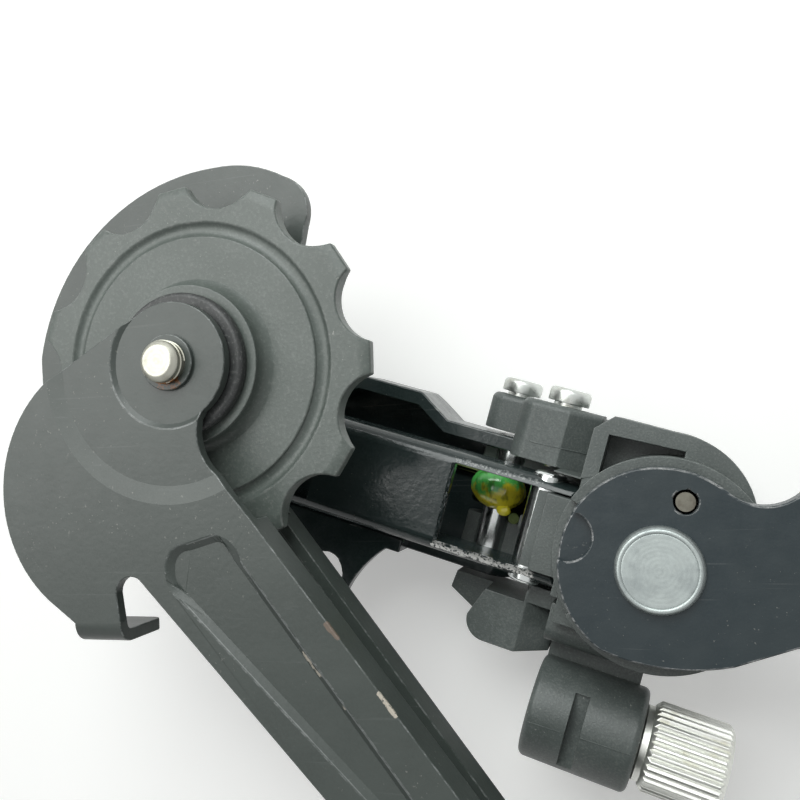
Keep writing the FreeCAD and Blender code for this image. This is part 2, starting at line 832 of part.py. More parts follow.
def return_spring():
    """Coil on the outer upper pin; one leg lies on the outer link, the other on the upper knuckle."""
    radius = return_spring_radius
    wire = return_spring_wire
    body = coil(radius, wire, return_spring_turns, return_spring_pitch)
    end_angle = 360.0 * return_spring_turns
    top = return_spring_pitch * return_spring_turns
    start_leg = Part.makeCylinder(wire, return_spring_short_leg, Vector(radius, 0, 0), Vector(0, -1, 0))
    end_place = on_circle((0, 0), radius, end_angle)
    end_point = Vector(end_place[0], end_place[1], top)
    end_way = on_circle((0, 0), 1.0, end_angle + 90)
    end_leg = Part.makeCylinder(wire, return_spring_long_leg, end_point, Vector(end_way[0], end_way[1], 0))
    knuckles = [Part.makeSphere(wire, Vector(radius, 0, 0)), Part.makeSphere(wire, end_point)]
    body = joined([body, *knuckles, start_leg, end_leg])
    body.rotate(Vector(0, 0, 0), Vector(1, 0, 0), -90)
    body.translate(Vector(outer_pin_x, return_spring_start, outer_pin_z))
    return body


def cable_clamp():
    """Plate that presses the cable on to the outer link's arm."""
    low = cable_arm_top - outer_sheet
    center = (-cable_bolt_along, -cable_bolt_across)
    body = block((center[0] - clamp_half_length, center[1] - clamp_low, low - clamp_thickness),
                 (center[0] + clamp_half_length, center[1] + clamp_high, low))
    body = rounded(body, clamp_corner, lambda edge: runs_along(edge, Vector(0, 0, 1)))
    groove = lengthwise(cable_groove_radius, center[1] - cable_groove_offset, low,
                        center[0] - clamp_half_length - 1, center[0] + clamp_half_length + 1)
    return without(body, [groove, upright(thread_radius, center, low - clamp_thickness - 1, low + 1)])


def cable_bolt():
    low = cable_arm_top - outer_sheet - clamp_thickness
    center = (-cable_bolt_along, -cable_bolt_across)
    corners = [on_circle(center, cable_bolt_head, 60.0 * corner) for corner in range(6)]
    hexagon = plate(corners, low - cable_bolt_head_height, low)
    shank = upright(thread_radius, center, low - 0.1, cable_arm_top + cable_bolt_stand_out)
    return joined([hexagon, shank])


# Lower knuckle and cage pivot, drawn in the link frame

def lower_knuckle():
    center = (cage_pivot_along, cage_pivot_across)
    bottom = lower_top_z - lower_barrel_length
    far = -link_length
    barrel = upright(lower_barrel_radius, center, bottom, lower_top_z)
    inner_lug = joined([
        crosswise(lower_lug_radius, far, 0, -inner_lug_half, inner_lug_half),
        block((cage_pivot_along + 2, -inner_lug_half, -lower_lug_radius),
              (far, inner_lug_half, lower_lug_radius)),
    ])
    outer_x = outer_pin_x + far
    outer_lug = joined([
        crosswise(lug_radius, outer_x, outer_pin_z, -outer_lug_half, outer_lug_half),
        block((outer_x - lug_radius, -outer_lug_half, outer_pin_z),
              (outer_x + lug_radius, outer_lug_half, bottom + 1)),
    ])
    lug_turn = stop_pin_angle + stop_lug_angle
    stop_lug = block((8.0, -stop_lug_half, 5.0), (stop_pin_circle + 2.2, stop_lug_half, lower_top_z - 2.0))
    stop_lug.rotate(Vector(0, 0, 0), Vector(0, 0, 1), lug_turn)
    stop_lug.translate(Vector(center[0], center[1], 0))
    body = joined([barrel, inner_lug, outer_lug, stop_lug])
    floor = lower_top_z - lower_pocket_depth
    pocket = upright(lower_pocket_outer, center, floor, lower_top_z + 1)
    pocket = pocket.cut(upright(lower_pocket_inner, center, floor - 1, lower_top_z + 2))
    leg_angle = cage_spring_angle - 360.0 * cage_spring_turns
    leg_place = on_circle(center, cage_spring_radius, leg_angle)
    leg_hole = upright(cage_spring_wire + 0.2, leg_place, floor - 2.0, floor + 1)
    return without(body, [
        pocket,
        leg_hole,
        upright(cage_axle_radius + running_clearance, center, bottom - 20, lower_top_z + 1),
        upright(cage_axle_head + moving_gap, center, bottom - 20, floor - lower_wall),
        crosswise(pin_radius, far, 0, -10, 10),
        crosswise(pin_radius, outer_x, outer_pin_z, -10, 10),
    ])


def cage_axle():
    """Turned axle riveted into the outer cage plate; its head sits sunk in the lower knuckle."""
    center = (cage_pivot_along, cage_pivot_across)
    face = outer_plate_face - pin_depth
    seat = lower_top_z - lower_pocket_depth - lower_wall - moving_gap
    back = face + plate_thickness
    return lathe([
        (0, back + cage_rivet_height),
        (cage_rivet_radius - 0.6, back + cage_rivet_height),
        (cage_rivet_radius, back),
        (rivet_shank_radius, back),
        (rivet_shank_radius, face),
        (cage_axle_radius, face),
        (cage_axle_radius, seat),
        (cage_axle_head, seat),
        (cage_axle_head, seat - cage_axle_head_height),
        (cage_axle_socket, seat - cage_axle_head_height),
        (cage_axle_socket, seat + 0.2),
        (0, seat + 0.2),
    ], center)


def cage_spring():
    top = lower_top_z - spring_top_room
    height = cage_spring_pitch * cage_spring_turns
    up = outer_plate_face - pin_depth + plate_thickness - 0.3 - top
    spring = sprung_coil(cage_spring_radius, cage_spring_wire, cage_spring_turns, cage_spring_pitch,
                         up, cage_spring_leg)
    spring.rotate(Vector(0, 0, 0), Vector(0, 0, 1), cage_spring_angle)
    spring.translate(Vector(cage_pivot_along, cage_pivot_across, top - height))
    return spring


def cage_stop_pin():
    place = on_circle((cage_pivot_along, cage_pivot_across), stop_pin_circle, stop_pin_angle)
    face = outer_plate_face - pin_depth
    shank = upright(stop_pin_radius, place, face - stop_pin_length, face)
    rivet = upright(stop_rivet_radius, place, face, face + plate_thickness + 0.4)
    return joined([shank, rivet])


# Cage, drawn about the guide pulley's axis

def cage_place(x, y):
    """A place of the link frame as seen from the guide pulley's axis."""
    spot = GUIDE.inverse().multVec(LINK.multVec(Vector(x, y, 0)))
    return (spot.x, spot.y)


def inner_outline():
    way = towards((0, 0), (0.613, -0.790), 1.0)
    right = (0.790, 0.613)
    flange_end = (10.4 + inner_flange_length * way[0], -18.9 + inner_flange_length * way[1])
    far_right = (tension[0] + boss_radius * right[0], tension[1] + boss_radius * right[1])
    far_left = (tension[0] - boss_radius * right[0], tension[1] - boss_radius * right[1])
    far_end = (tension[0] + boss_radius * way[0], tension[1] + boss_radius * way[1])
    return [
        on_circle((0, 0), boss_radius, 124),
        (-16.7, -1.0),
        ((-23.9, -13.6), (-17.6, -28.4)),
        (tab_left, tab_edge + tab_bend),
        (tab_right, tab_edge + tab_bend),
        (tab_right - 0.5, tab_edge + 6.0),
        ((-6.6, -25.7), (-4.6, -25.9)),
        (18.3, -50.1),
        far_left,
        (far_end, far_right),
        flange_end,
        (10.4, -18.9),
        (6.1, -13.7),
        ((3.7, -9.6), on_circle((0, 0), boss_radius, 304)),
        (on_circle((0, 0), boss_radius, 34), on_circle((0, 0), boss_radius, 124)),
    ]


def pressed_area(body, outline, area, low, drop):
    """Push an area of a plate down by the drop; the plate keeps its thickness."""
    sunk = plate(outline, low - drop, low - drop + plate_thickness).common(area)
    return joined([body.cut(area), sunk])


def stamped_sheet(low):
    """Round sheet about the guide axis, stepped down towards the bolt in two soft rings."""
    reach = 2 * math.hypot(*tension)
    rings = [
        (0.0, boss_press),
        (boss_radius, boss_press),
        (boss_radius + 0.6, step_press),
        (step_radius - step_ramp, step_press),
        (step_radius, 0.0),
        (reach, 0.0),
    ]
    under = [(radius, low - press) for radius, press in rings]
    over = [(radius, low - press + plate_thickness) for radius, press in reversed(rings)]
    return lathe(under + over)


def pressed_panel(body, panel, low):
    """Sink a panel of the plate, with sloping sides, and let it bulge as much on the other face."""
    top = low + plate_thickness
    small = panel.makeOffset2D(-panel_slope)
    rim = panel.OuterWire
    floor = small.OuterWire
    sunk = Part.makeLoft([lifted(rim, top), lifted(floor, top - panel_press)], True, True)
    bulge = Part.makeLoft([lifted(rim, low), lifted(floor, low - panel_press)], True, True)
    return joined([body, bulge]).cut(sunk)


def lifted(wire, depth):
    moved = wire.copy()
    moved.translate(Vector(0, 0, depth))
    return moved


def along_edge(start, way, length, low, high):
    """Flange along a straight edge, one sheet thick, on the right of the way that it runs."""
    end = (start[0] + length * way[0], start[1] + length * way[1])
    inward = (plate_thickness * way[1], -plate_thickness * way[0])
    return plate([
        start,
        end,
        (end[0] + inward[0], end[1] + inward[1]),
        (start[0] + inward[0], start[1] + inward[1]),
    ], low, high)


def bent_tab(top):
    """Chain tab folded down from the plate's lower edge."""
    outer = tab_bend * (1 - math.sqrt(0.5))
    inside = tab_bend - plate_thickness
    inner = plate_thickness + inside * (1 - math.sqrt(0.5))
    tab = channel([
        (tab_edge + tab_bend + 0.3, top),
        (tab_edge + tab_bend, top),
        ((tab_edge + outer, top - outer), (tab_edge, top - tab_bend)),
        (tab_edge, top - tab_depth),
        (tab_edge + plate_thickness, top - tab_depth),
        (tab_edge + plate_thickness, top - tab_bend),
        ((tab_edge + inner, top - inner), (tab_edge + tab_bend, top - plate_thickness)),
        (tab_edge + tab_bend + 0.3, top - plate_thickness),
    ], tab_left, tab_right)
    return rounded(tab, 1.2, lambda edge: runs_along(edge, Vector(0, 1, 0))
                   and mid_point(edge).z < top - tab_depth + 0.1)


def cage_inner_plate():
    outline = inner_outline()
    low = bush_end + boss_press
    body = plate(outline, low - 5, low + 5).common(stamped_sheet(low))
    seat = upright(boss_radius - 0.2, tension, low - 5, low + 5)
    body = pressed_area(body, outline, seat, low, boss_press)
    panel = face_of([
        (-0.9, -24.6),
        ((0.0, -22.4), (2.0, -21.6)),
        (5.6, -20.6),
        ((7.4, -21.2), (8.9, -23.6)),
        (31.0, -52.6),
        ((31.5, -55.5), (29.0, -55.6)),
        (0.9, -28.2),
        ((-0.6, -26.6), (-0.9, -24.6)),
    ])
    body = pressed_panel(body, panel, low)
    top = low + plate_thickness
    flange = along_edge((10.4, -18.9), (0.613, -0.790), inner_flange_length, low - inner_flange_height, top)
    tab = bent_tab(top)
    face = bush_end + plate_thickness
    axes = ((0.0, 0.0), tension)
    collars = [upright(collar_radius, place, face - 0.5, face + collar_height) for place in axes]
    body = joined([body, flange, tab, *collars])
    holes = [upright(thread_radius, place, low - 5, low + 5) for place in axes]
    return without(body, holes)


def outer_outline():
    axle = cage_place(cage_pivot_along, cage_pivot_across)
    right = (0.801, 0.598)
    way = (0.598, -0.801)
    far_right = (tension[0] + boss_radius * right[0], tension[1] + boss_radius * right[1])
    far_left = (tension[0] - boss_radius * right[0], tension[1] - boss_radius * right[1])
    far_end = (tension[0] + boss_radius * way[0], tension[1] + boss_radius * way[1])
    return [
        (-29.7, 3.5),
        ((-20.4, 20.2), (-0.7, 27.9)),
        ((4.8, 27.4), (9.6, 25.4)),
        ((12.6, 22.3), (12.4, 18.6)),
        (9.6, 6.0),
        (8.4, -12.0),
        (7.7, -18.3),
        (8.7, -19.6),
        (8.7 + outer_flange_length * way[0], -19.6 + outer_flange_length * way[1]),
        far_right,
        (far_end, far_left),
        (-4.0, -26.0),
        ((-22.0, -17.0), on_circle(axle, axle_end_radius, 195)),
    ]


def cage_outer_plate():
    outline = outer_outline()
    low = outer_plate_face
    body = plate(outline, low, low + plate_thickness)
    for place in ((0.0, 0.0), tension):
        seat = upright(boss_radius - 0.6, place, low - 5, low + 5)
        body = pressed_area(body, outline, seat, low, -boss_press)
    flange = along_edge((8.7, -19.6), (0.598, -0.801), outer_flange_length, low,
                        low + plate_thickness + outer_flange_height)
    body = joined([body, flange])
    axle = cage_place(cage_pivot_along, cage_pivot_across)
    stop = cage_place(*on_circle((cage_pivot_along, cage_pivot_across), stop_pin_circle, stop_pin_angle))
    leg = cage_place(*on_circle((cage_pivot_along, cage_pivot_across), cage_spring_radius, cage_spring_angle))
    holes = [upright(thread_radius, place, low - 5, low + 5) for place in ((0.0, 0.0), tension)]
    return without(body, [
        *holes,
        upright(rivet_shank_radius, axle, low - 5, low + 5),
        upright(stop_rivet_radius, stop, low - 5, low + 5),
        upright(cage_spring_wire + 0.2, leg, low - 5, low + 5),
    ])


def toothed_outline():
    """Pulley outline: flat tips joined by round hollows for the chain rollers."""
    steps = []
    pitch = 360.0 / pulley_teeth
    for tooth in range(pulley_teeth):
        turn = pulley_first_tooth - pitch * tooth
        tip_start = on_circle((0, 0), pulley_tip_radius, turn + pulley_tip_half_angle)
        tip_end = on_circle((0, 0), pulley_tip_radius, turn - pulley_tip_half_angle)
        if tooth == 0:
            steps.append(tip_start)
        steps.append(tip_end)
        root = on_circle((0, 0), pulley_root_radius, turn - pitch / 2)
        next_tip = on_circle((0, 0), pulley_tip_radius, turn - pitch + pulley_tip_half_angle)
        steps.append((root, next_tip))
    return steps


def pulley():
    half = tooth_half_thickness
    ring = plate(toothed_outline(), pulley_middle - half, pulley_middle + half)
    tip = pulley_tip_radius
    bevel = lathe([
        (0, pulley_middle - 9),
        (tip - 3.0, pulley_middle - 9),
        (tip - 1.6, pulley_middle - half),
        (tip + 0.1, pulley_middle - half * 0.55),
        (tip + 0.1, pulley_middle + half * 0.55),
        (tip - 1.6, pulley_middle + half),
        (tip - 3.0, pulley_middle + 9),
        (0, pulley_middle + 9),
    ])
    ring = ring.common(bevel)
    disc = half + disc_rise
    reach = groove_middle - groove_half
    hub = lathe([
        (0, pulley_middle - hub_half_length),
        (hub_radius, pulley_middle - hub_half_length),
        ((hub_radius + 0.3, pulley_middle - disc - 0.6), (hub_radius + 1.0, pulley_middle - disc)),
        (reach, pulley_middle - disc),
        (reach, pulley_middle + disc),
        (hub_radius + 1.0, pulley_middle + disc),
        ((hub_radius + 0.3, pulley_middle + disc + 0.6), (hub_radius, pulley_middle + hub_half_length)),
        (0, pulley_middle + hub_half_length),
    ])
    body = joined([ring, hub])
    cutters = [upright(bush_radius + running_clearance, (0, 0), -5, 30)]
    for face, depth in ((pulley_middle + half, groove_depth), (pulley_middle - half, -groove_depth)):
        cutters.append(lathe([
            (reach, face),
            ((groove_middle, face - depth), (groove_middle + groove_half, face)),
        ]))
    return without(body, cutters)


def bush():
    tube = upright(bush_radius, (0, 0), bush_start, bush_end)
    return tube.cut(upright(thread_radius, (0, 0), 0, 30))


def dust_caps():
    """The washers on each side of a pulley, with a turned-in rim."""
    caps = []
    near = bush_end - cap_gap
    near_cap = lathe([
        (bush_radius, near),
        (cap_radius - 0.6, near),
        ((cap_radius - 0.18, near - 0.18), (cap_radius, near - 0.6)),
        (cap_radius, near - cap_thickness),
        (bush_radius, near - cap_thickness),
    ])
    caps.append(near_cap)
    far_cap = near_cap.mirror(Vector(0, 0, pulley_middle), Vector(0, 0, 1))
    caps.append(far_cap)
    return Part.makeCompound(caps)


def pulley_bolt():
    seat = outer_plate_face + boss_press
    end = bush_end + plate_thickness + bolt_stand_out
    head = pulley_bolt_head
    bolt = lathe([
        (0, end),
        (thread_radius - 0.6, end),
        (thread_radius, end - 0.6),
        (thread_radius, seat),
        (head, seat),
        (head, seat - pulley_bolt_height + 0.8),
        ((head - 0.24, seat - pulley_bolt_height + 0.24), (head - 0.8, seat - pulley_bolt_height)),
        (0, seat - pulley_bolt_height),
    ])
    socket = plate([on_circle((0, 0), 1.75, 60.0 * corner) for corner in range(6)],
                   seat - pulley_bolt_height - 1, seat - pulley_bolt_height + 1.6)
    return bolt.cut(socket)


def at_tension(shape):
    moved = shape.copy()
    moved.translate(Vector(tension[0], tension[1], 0))
    return moved


def in_link(shape):
    return placed(shape, LINK)


def in_cage(shape):
    flat_place = Placement(Vector(GUIDE.Base.x, GUIDE.Base.y, 0), Rotation())
    return placed(shape, flat_place)


def all_pieces():
    inner_pin_half = inner_half_width + pin_stand_out
    outer_pin_half = outer_half_width
    outer_far = outer_pin_x - link_length
    one_pulley = pulley()
    one_bush = bush()
    one_bolt = pulley_bolt()
    caps = dust_caps()
    return {
        "hanger_bracket": hanger_bracket(),
        "pivot_rivet": pivot_rivet(),
        "upper_pivot_spring": upper_pivot_spring(),
        "upper_knuckle": in_link(upper_knuckle()),
        "inner_pin_upper": in_link(link_pin(0, 0, inner_pin_half)),
        "outer_pin_upper": in_link(link_pin(outer_pin_x, outer_pin_z, outer_pin_half)),
        "limit_screw_front": in_link(limit_screw(front_screw, front_screw_tip, tower_top)),
        "limit_screw_back": in_link(limit_screw(back_screw, back_screw_tip, back_tower_top)),
        "barrel_adjuster": in_link(barrel_adjuster()),
        "inner_link": in_link(inner_link()),
        "outer_link": in_link(outer_link()),
        "return_spring": in_link(return_spring()),
        "cable_clamp": in_link(cable_clamp()),
        "cable_bolt": in_link(cable_bolt()),
        "lower_knuckle": in_link(lower_knuckle()),
        "inner_pin_lower": in_link(link_pin(-link_length, 0, inner_pin_half)),
        "outer_pin_lower": in_link(link_pin(outer_far, outer_pin_z, outer_pin_half)),
        "cage_axle": in_link(cage_axle()),
        "cage_spring": in_link(cage_spring()),
        "cage_stop_pin": in_link(cage_stop_pin()),
        "cage_outer_plate": in_cage(cage_outer_plate()),
        "cage_inner_plate": in_cage(cage_inner_plate()),
        "guide_pulley": in_cage(one_pulley),
        "guide_bush": in_cage(one_bush),
        "guide_caps": in_cage(caps),
        "guide_bolt": in_cage(one_bolt),
        "tension_pulley": in_cage(at_tension(one_pulley)),
        "tension_bush": in_cage(at_tension(one_bush)),
        "tension_caps": in_cage(at_tension(caps)),
        "tension_bolt": in_cage(at_tension(one_bolt)),
    }


os.makedirs("parts", exist_ok=True)
for name, shape in all_pieces().items():
    placed(shape, STAND_UP).exportStep("parts/" + name + ".step")
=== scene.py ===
"""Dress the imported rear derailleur: softened edges, finishes, small fittings, light and camera."""

import json
import logging
import math
from dataclasses import dataclass, field
from enum import Enum
from typing import Union

import bpy
from mathutils import Matrix, Vector

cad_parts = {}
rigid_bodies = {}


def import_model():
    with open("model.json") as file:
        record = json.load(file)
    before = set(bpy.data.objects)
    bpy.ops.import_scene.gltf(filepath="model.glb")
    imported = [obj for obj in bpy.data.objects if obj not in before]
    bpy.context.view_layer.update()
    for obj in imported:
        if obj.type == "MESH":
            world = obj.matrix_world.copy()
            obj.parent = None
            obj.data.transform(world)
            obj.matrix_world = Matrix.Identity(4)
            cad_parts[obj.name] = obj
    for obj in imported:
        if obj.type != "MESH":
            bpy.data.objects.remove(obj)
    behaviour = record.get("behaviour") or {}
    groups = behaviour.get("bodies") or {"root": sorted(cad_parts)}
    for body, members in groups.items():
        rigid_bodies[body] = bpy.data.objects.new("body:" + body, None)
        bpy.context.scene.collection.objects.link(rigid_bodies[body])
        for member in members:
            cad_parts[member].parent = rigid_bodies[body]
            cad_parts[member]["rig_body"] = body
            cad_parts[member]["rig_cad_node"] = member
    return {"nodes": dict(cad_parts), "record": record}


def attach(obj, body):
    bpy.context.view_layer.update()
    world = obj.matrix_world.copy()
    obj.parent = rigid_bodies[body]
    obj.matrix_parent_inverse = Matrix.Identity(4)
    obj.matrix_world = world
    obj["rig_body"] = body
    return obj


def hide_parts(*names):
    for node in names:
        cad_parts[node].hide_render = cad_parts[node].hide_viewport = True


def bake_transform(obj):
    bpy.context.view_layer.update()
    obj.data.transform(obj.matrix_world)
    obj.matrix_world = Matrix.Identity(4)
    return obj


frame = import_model()

LOG = logging.getLogger("derailleur")
MM = 0.001
ROUND_TO = math.radians(40.0)
FLAT_WITHIN = math.radians(0.4)
MERGE_WITHIN = 0.000002
FLECK_SIZE = 0.0004
SPECK_SIZE = 0.0005
PATCH_SIZE = 0.012
RAGGED_SIZE = 0.0013
TURNING_WANDER = 0.003

Socket = bpy.types.NodeSocket
Piece = bpy.types.Object
Material = bpy.types.Material
Pair = tuple[float, float]
Colour = tuple[float, float, float]
Point = tuple[float, float, float]
Value = Union[float, Socket]
Tint = Union[Colour, Socket]
Inputs = dict[Union[str, int], Union[Value, Tint, list[float]]]


@dataclass(frozen=True)
class Axes:
    """A drawing's own axes in the frame: two typed ones in millimetres, and a third towards the wheel."""

    origin: Point
    first: Point
    second: Point

    def place(self, first: float, second: float, depth: float) -> Point:
        """A drawn place in the frame.

        Args:
            first: Distance along the first axis, in millimetres.
            second: Distance along the second axis.
            depth: Distance towards the wheel.

        Returns:
            The place in the frame, in millimetres.
        """
        spot = Vector(self.origin) + first * Vector(self.first) + second * Vector(self.second)
        return (spot.x, spot.y + depth, spot.z)

    def matrix(self, first: float, second: float, depth: float) -> Matrix:
        """The change, in metres, from a piece modelled at a drawn place to the frame."""
        turn = Matrix((self.first, self.second, (0.0, 1.0, 0.0))).transposed().to_4x4()
        return Matrix.Translation(Vector(self.place(first, second, depth)) * MM) @ turn


LINK_AXES = Axes((4.199, -11.0, -47.9), (-0.309017, 0.0, 0.951057), (0.951057, 0.0, 0.309017))
CAGE_AXES = Axes((27.335, 0.0, -87.068), (0.0, 0.0, 1.0), (1.0, 0.0, 0.0))
HANGER_AXES = Axes((0.0, 0.0, -32.0), (0.0, 0.0, 1.0), (1.0, 0.0, 0.0))


class Slot(Enum):
    """The record's material slots."""

    HANGER = "zinc_plate"
    RIVET = "rivet_steel"
    SPRING = "spring_steel"
    KNUCKLE = "black_nylon"
    PIN = "pin_steel"
    SCREW = "screw_zinc"
    KNURL = "knurled_alloy"
    LINK = "black_gloss"
    GREASE = "greased_spring"
    CAST = "black_cast"
    CAGE = "black_satin"
    PULLEY = "grey_nylon"
    BUSH = "bush_steel"
    CAP = "cap_black"
    BOLT = "bolt_steel"


class Sheet:
    """A material's node tree, with short calls for the nodes that the finishes use."""

    def __init__(self, name: str) -> None:
        """Start a material with one shader.

        Args:
            name: The material's name.
        """
        self.material = bpy.data.materials.new(name)
        self.material.use_nodes = True
        self.tree = self.material.node_tree
        self.tree.nodes.clear()
        output = self.add("OutputMaterial")
        self.shader = self.add("BsdfPrincipled")
        self.tree.links.new(self.shader.outputs["BSDF"], output.inputs["Surface"])
        self.place = self.add("TexCoord").outputs["Object"]

    def add(self, kind: str, inputs: Inputs | None = None, **settings: object) -> bpy.types.Node:
        """Add a node.

        Args:
            kind: Blender's name for the node type, without the word before it.
            inputs: What to link or set, by the input's name or number.
            settings: Properties to set on it.

        Returns:
            The new node.
        """
        node = self.tree.nodes.new("ShaderNode" + kind)
        for key, value in settings.items():
            setattr(node, key, value)
        for key, value in (inputs or {}).items():
            self.put(node.inputs[key], value)
        return node

    def put(self, socket: Socket, value: Union[Value, Tint, list[float]]) -> None:
        """Link a socket to another, or set its own value.

        Args:
            socket: The input socket.
            value: An output socket, a number, a colour or a vector.
        """
        if isinstance(value, Socket):
            self.tree.links.new(value, socket)
        elif isinstance(value, tuple) and len(value) == 3 and socket.type == "RGBA":
            socket.default_value = (*value, 1.0)
        else:
            socket.default_value = value

    def stretched(self, stretch: Point, turn: Point = (0.0, 0.0, 0.0)) -> Socket:
        """Object coordinates, turned and then scaled.

        Args:
            stretch: Scale along each axis.
            turn: Rotation about each axis, in radians.

        Returns:
            The changed coordinates.
        """
        turned = self.add("Mapping", {"Vector": self.place, "Rotation": turn, "Scale": stretch})
        return turned.outputs["Vector"]

    def noise(self, size: float, detail: float = 3.0, rough: float = 0.55,
              place: Socket | None = None) -> Socket:
        """Cloudy noise.

        Args:
            size: Size of its largest features, in metres.
            detail: Number of finer layers.
            rough: Strength of the finer layers.
            place: Coordinates to use instead of the object's own.

        Returns:
            The noise as a number.
        """
        node = self.add("TexNoise", {
            "Vector": place or self.place, "Scale": 1.0 / size, "Detail": detail, "Roughness": rough,
        })
        return node.outputs[0]

    def dust(self, least: float, clear: float, share: float) -> Socket:
        """Small uneven specks scattered in patches.

        Args:
            least: Where on the fine noise a speck begins.
            clear: Where on the coarse noise a patch begins.
            share: How much a speck covers.

        Returns:
            The share inside a speck and zero outside.
        """
        specks = self.fade(self.noise(SPECK_SIZE, 2.0, 0.6), least, least + 0.05)
        return self.number("MULTIPLY", specks, self.fade(self.noise(PATCH_SIZE), clear, 0.66, 0.0, share))

    def fade(self, value: Value, low: float, high: float, start: float = 0.0,
             end: float = 1.0) -> Socket:
        """Ease from one value to another.

        Args:
            value: The number to read.
            low: Where the change starts.
            high: Where it ends.
            start: Result below low.
            end: Result above high.

        Returns:
            The eased number.
        """
        ends = {"Value": value, "From Min": low, "From Max": high, "To Min": start, "To Max": end}
        return self.add("MapRange", ends, interpolation_type="SMOOTHSTEP").outputs[0]

    def number(self, operation: str, first: Value, second: Value = 0.0) -> Socket:
        """Work out a number from two others.

        Args:
            operation: Name of the math operation.
            first: First number.
            second: Second number.

        Returns:
            The result.
        """
        return self.add("Math", {0: first, 1: second}, operation=operation).outputs[0]

    def blend(self, share: Value, first: Tint, second: Tint) -> Socket:
        """Mix two colours.

        Args:
            share: Share of the second colour.
            first: First colour.
            second: Second colour.

        Returns:
            The mixed colour.
        """
        return self.add("Mix", {0: share, 6: first, 7: second}, data_type="RGBA").outputs[2]

    def along(self, start: Point, end: Point, radius: float, ragged: float = 0.6) -> Socket:
        """A ragged strip on the piece.

        Args:
            start: One end of the strip's middle line, in millimetres.
            end: Its other end.
            radius: Half the strip's width, in millimetres.
            ragged: How uneven its outline is.

        Returns:
            One inside the strip and zero outside.
        """
        run = Vector(end) - Vector(start)
        length = max(run.length, 0.001)
        way = run / length
        reach = self.vector("SUBTRACT", self.place, [value * MM for value in start])
        share = self.number("MAXIMUM", self.vector("DOT_PRODUCT", reach, list(way)), 0.0)
        share = self.number("MINIMUM", share, length * MM)
        foot = self.add("VectorMath", {0: list(way), "Scale": share}, operation="SCALE")
        away = self.vector("DISTANCE", reach, foot.outputs[0])
        wander = self.noise(RAGGED_SIZE, 4.0, 0.7)
        edge = self.fade(wander, 0.3, 0.72, radius * MM * (1.0 - ragged), radius * MM * (1.0 + ragged))
        return self.fade(self.number("SUBTRACT", edge, away), 0.0, 0.0001)

    def vector(self, operation: str, first: Socket,
               second: Union[list[float], Socket]) -> Socket:
        """Work on two vectors.

        Args:
            operation: Name of the vector operation.
            first: First vector.
            second: Second vector.

        Returns:
            The resulting vector, or number for a product or distance.
        """
        node = self.add("VectorMath", {0: first, 1: second}, operation=operation)
        return node.outputs["Value" if operation in ("DOT_PRODUCT", "DISTANCE") else "Vector"]

    def rings(self, center: Point, spacing: float) -> Socket:
        """Turning marks about an axis along the frame's second axis.

        Args:
            center: A place on the axis, in millimetres.
            spacing: Distance between the marks, in metres.

        Returns:
            The height of the marks, from 0 to 1.
        """
        moved = self.vector("SUBTRACT", self.place, [value * MM for value in center])
        flat = self.vector("MULTIPLY", moved, [1.0, 0.0, 1.0])
        away = self.vector("DISTANCE", flat, [0.0, 0.0, 0.0])
        wander = self.number("MULTIPLY", self.noise(TURNING_WANDER), spacing * 1.5)
        turns = self.number("MULTIPLY", self.number("ADD", away, wander), 2.0 * math.pi / spacing)
        return self.fade(self.number("SINE", turns), -1.0, 1.0)

    def relief(self, height: Value, depth: float, strength: float = 1.0,
               under: Socket | None = None) -> Socket:
        """Bump from a height.

        Args:
            height: The height, from 0 to 1.
            depth: Its depth in metres.
            strength: Share of it that shows.
            under: Another bump to lie on.

        Returns:
            The bumped normal.
        """
        node = self.add("Bump", {"Strength": strength, "Distance": depth, "Height": height})
        if under is not None:
            self.put(node.inputs["Normal"], under)
        return node.outputs["Normal"]

    def finish(self, colour: Tint, roughness: Value, normal: Socket | None = None,
               metallic: Value = 0.0) -> Material:
        """Set the shader's main inputs.

        Args:
            colour: Base colour.
            roughness: Roughness.
            normal: Bumped normal, if any.
            metallic: How metallic the surface is.

        Returns:
            The finished material.
        """
        self.put(self.shader.inputs["Base Color"], colour)
        self.put(self.shader.inputs["Roughness"], roughness)
        self.put(self.shader.inputs["Metallic"], metallic)
        if normal is not None:
            self.put(self.shader.inputs["Normal"], normal)
        return self.material


class MarkKind(Enum):
    """What a mark on a surface shows."""

    BARE = ((0.56, 0.51, 0.43), 0.0)
    BROWN = ((0.17, 0.13, 0.10), 0.0)
    WORN = ((0.19, 0.205, 0.20), 0.0)
    RAW = ((0.74, 0.74, 0.71), 0.4)
    RUST = ((0.20, 0.09, 0.035), 0.0)

    @property
    def tint(self) -> Colour:
        """Colour inside the mark."""
        return self.value[0]

    @property
    def metallic(self) -> float:
        """How metallic the mark is."""
        return self.value[1]


@dataclass(frozen=True)
class Mark:
    """A chip, rubbed line, raw edge or stain along a short strip."""

    start: Point
    end: Point
    radius: float
    kind: MarkKind = MarkKind.BARE
    ragged: float = 0.6
    broken: float = 0.0

    def mask(self, sheet: Sheet) -> Socket:
        """Where the mark is.

        Args:
            sheet: The material to work in.

        Returns:
            One inside the mark and zero outside.
        """
        inside = sheet.along(self.start, self.end, self.radius, self.ragged)
        if not self.broken:
            return inside
        flecks = sheet.fade(sheet.noise(FLECK_SIZE, 3.0, 0.7), self.broken, self.broken + 0.08)
        return sheet.number("MULTIPLY", inside, flecks)


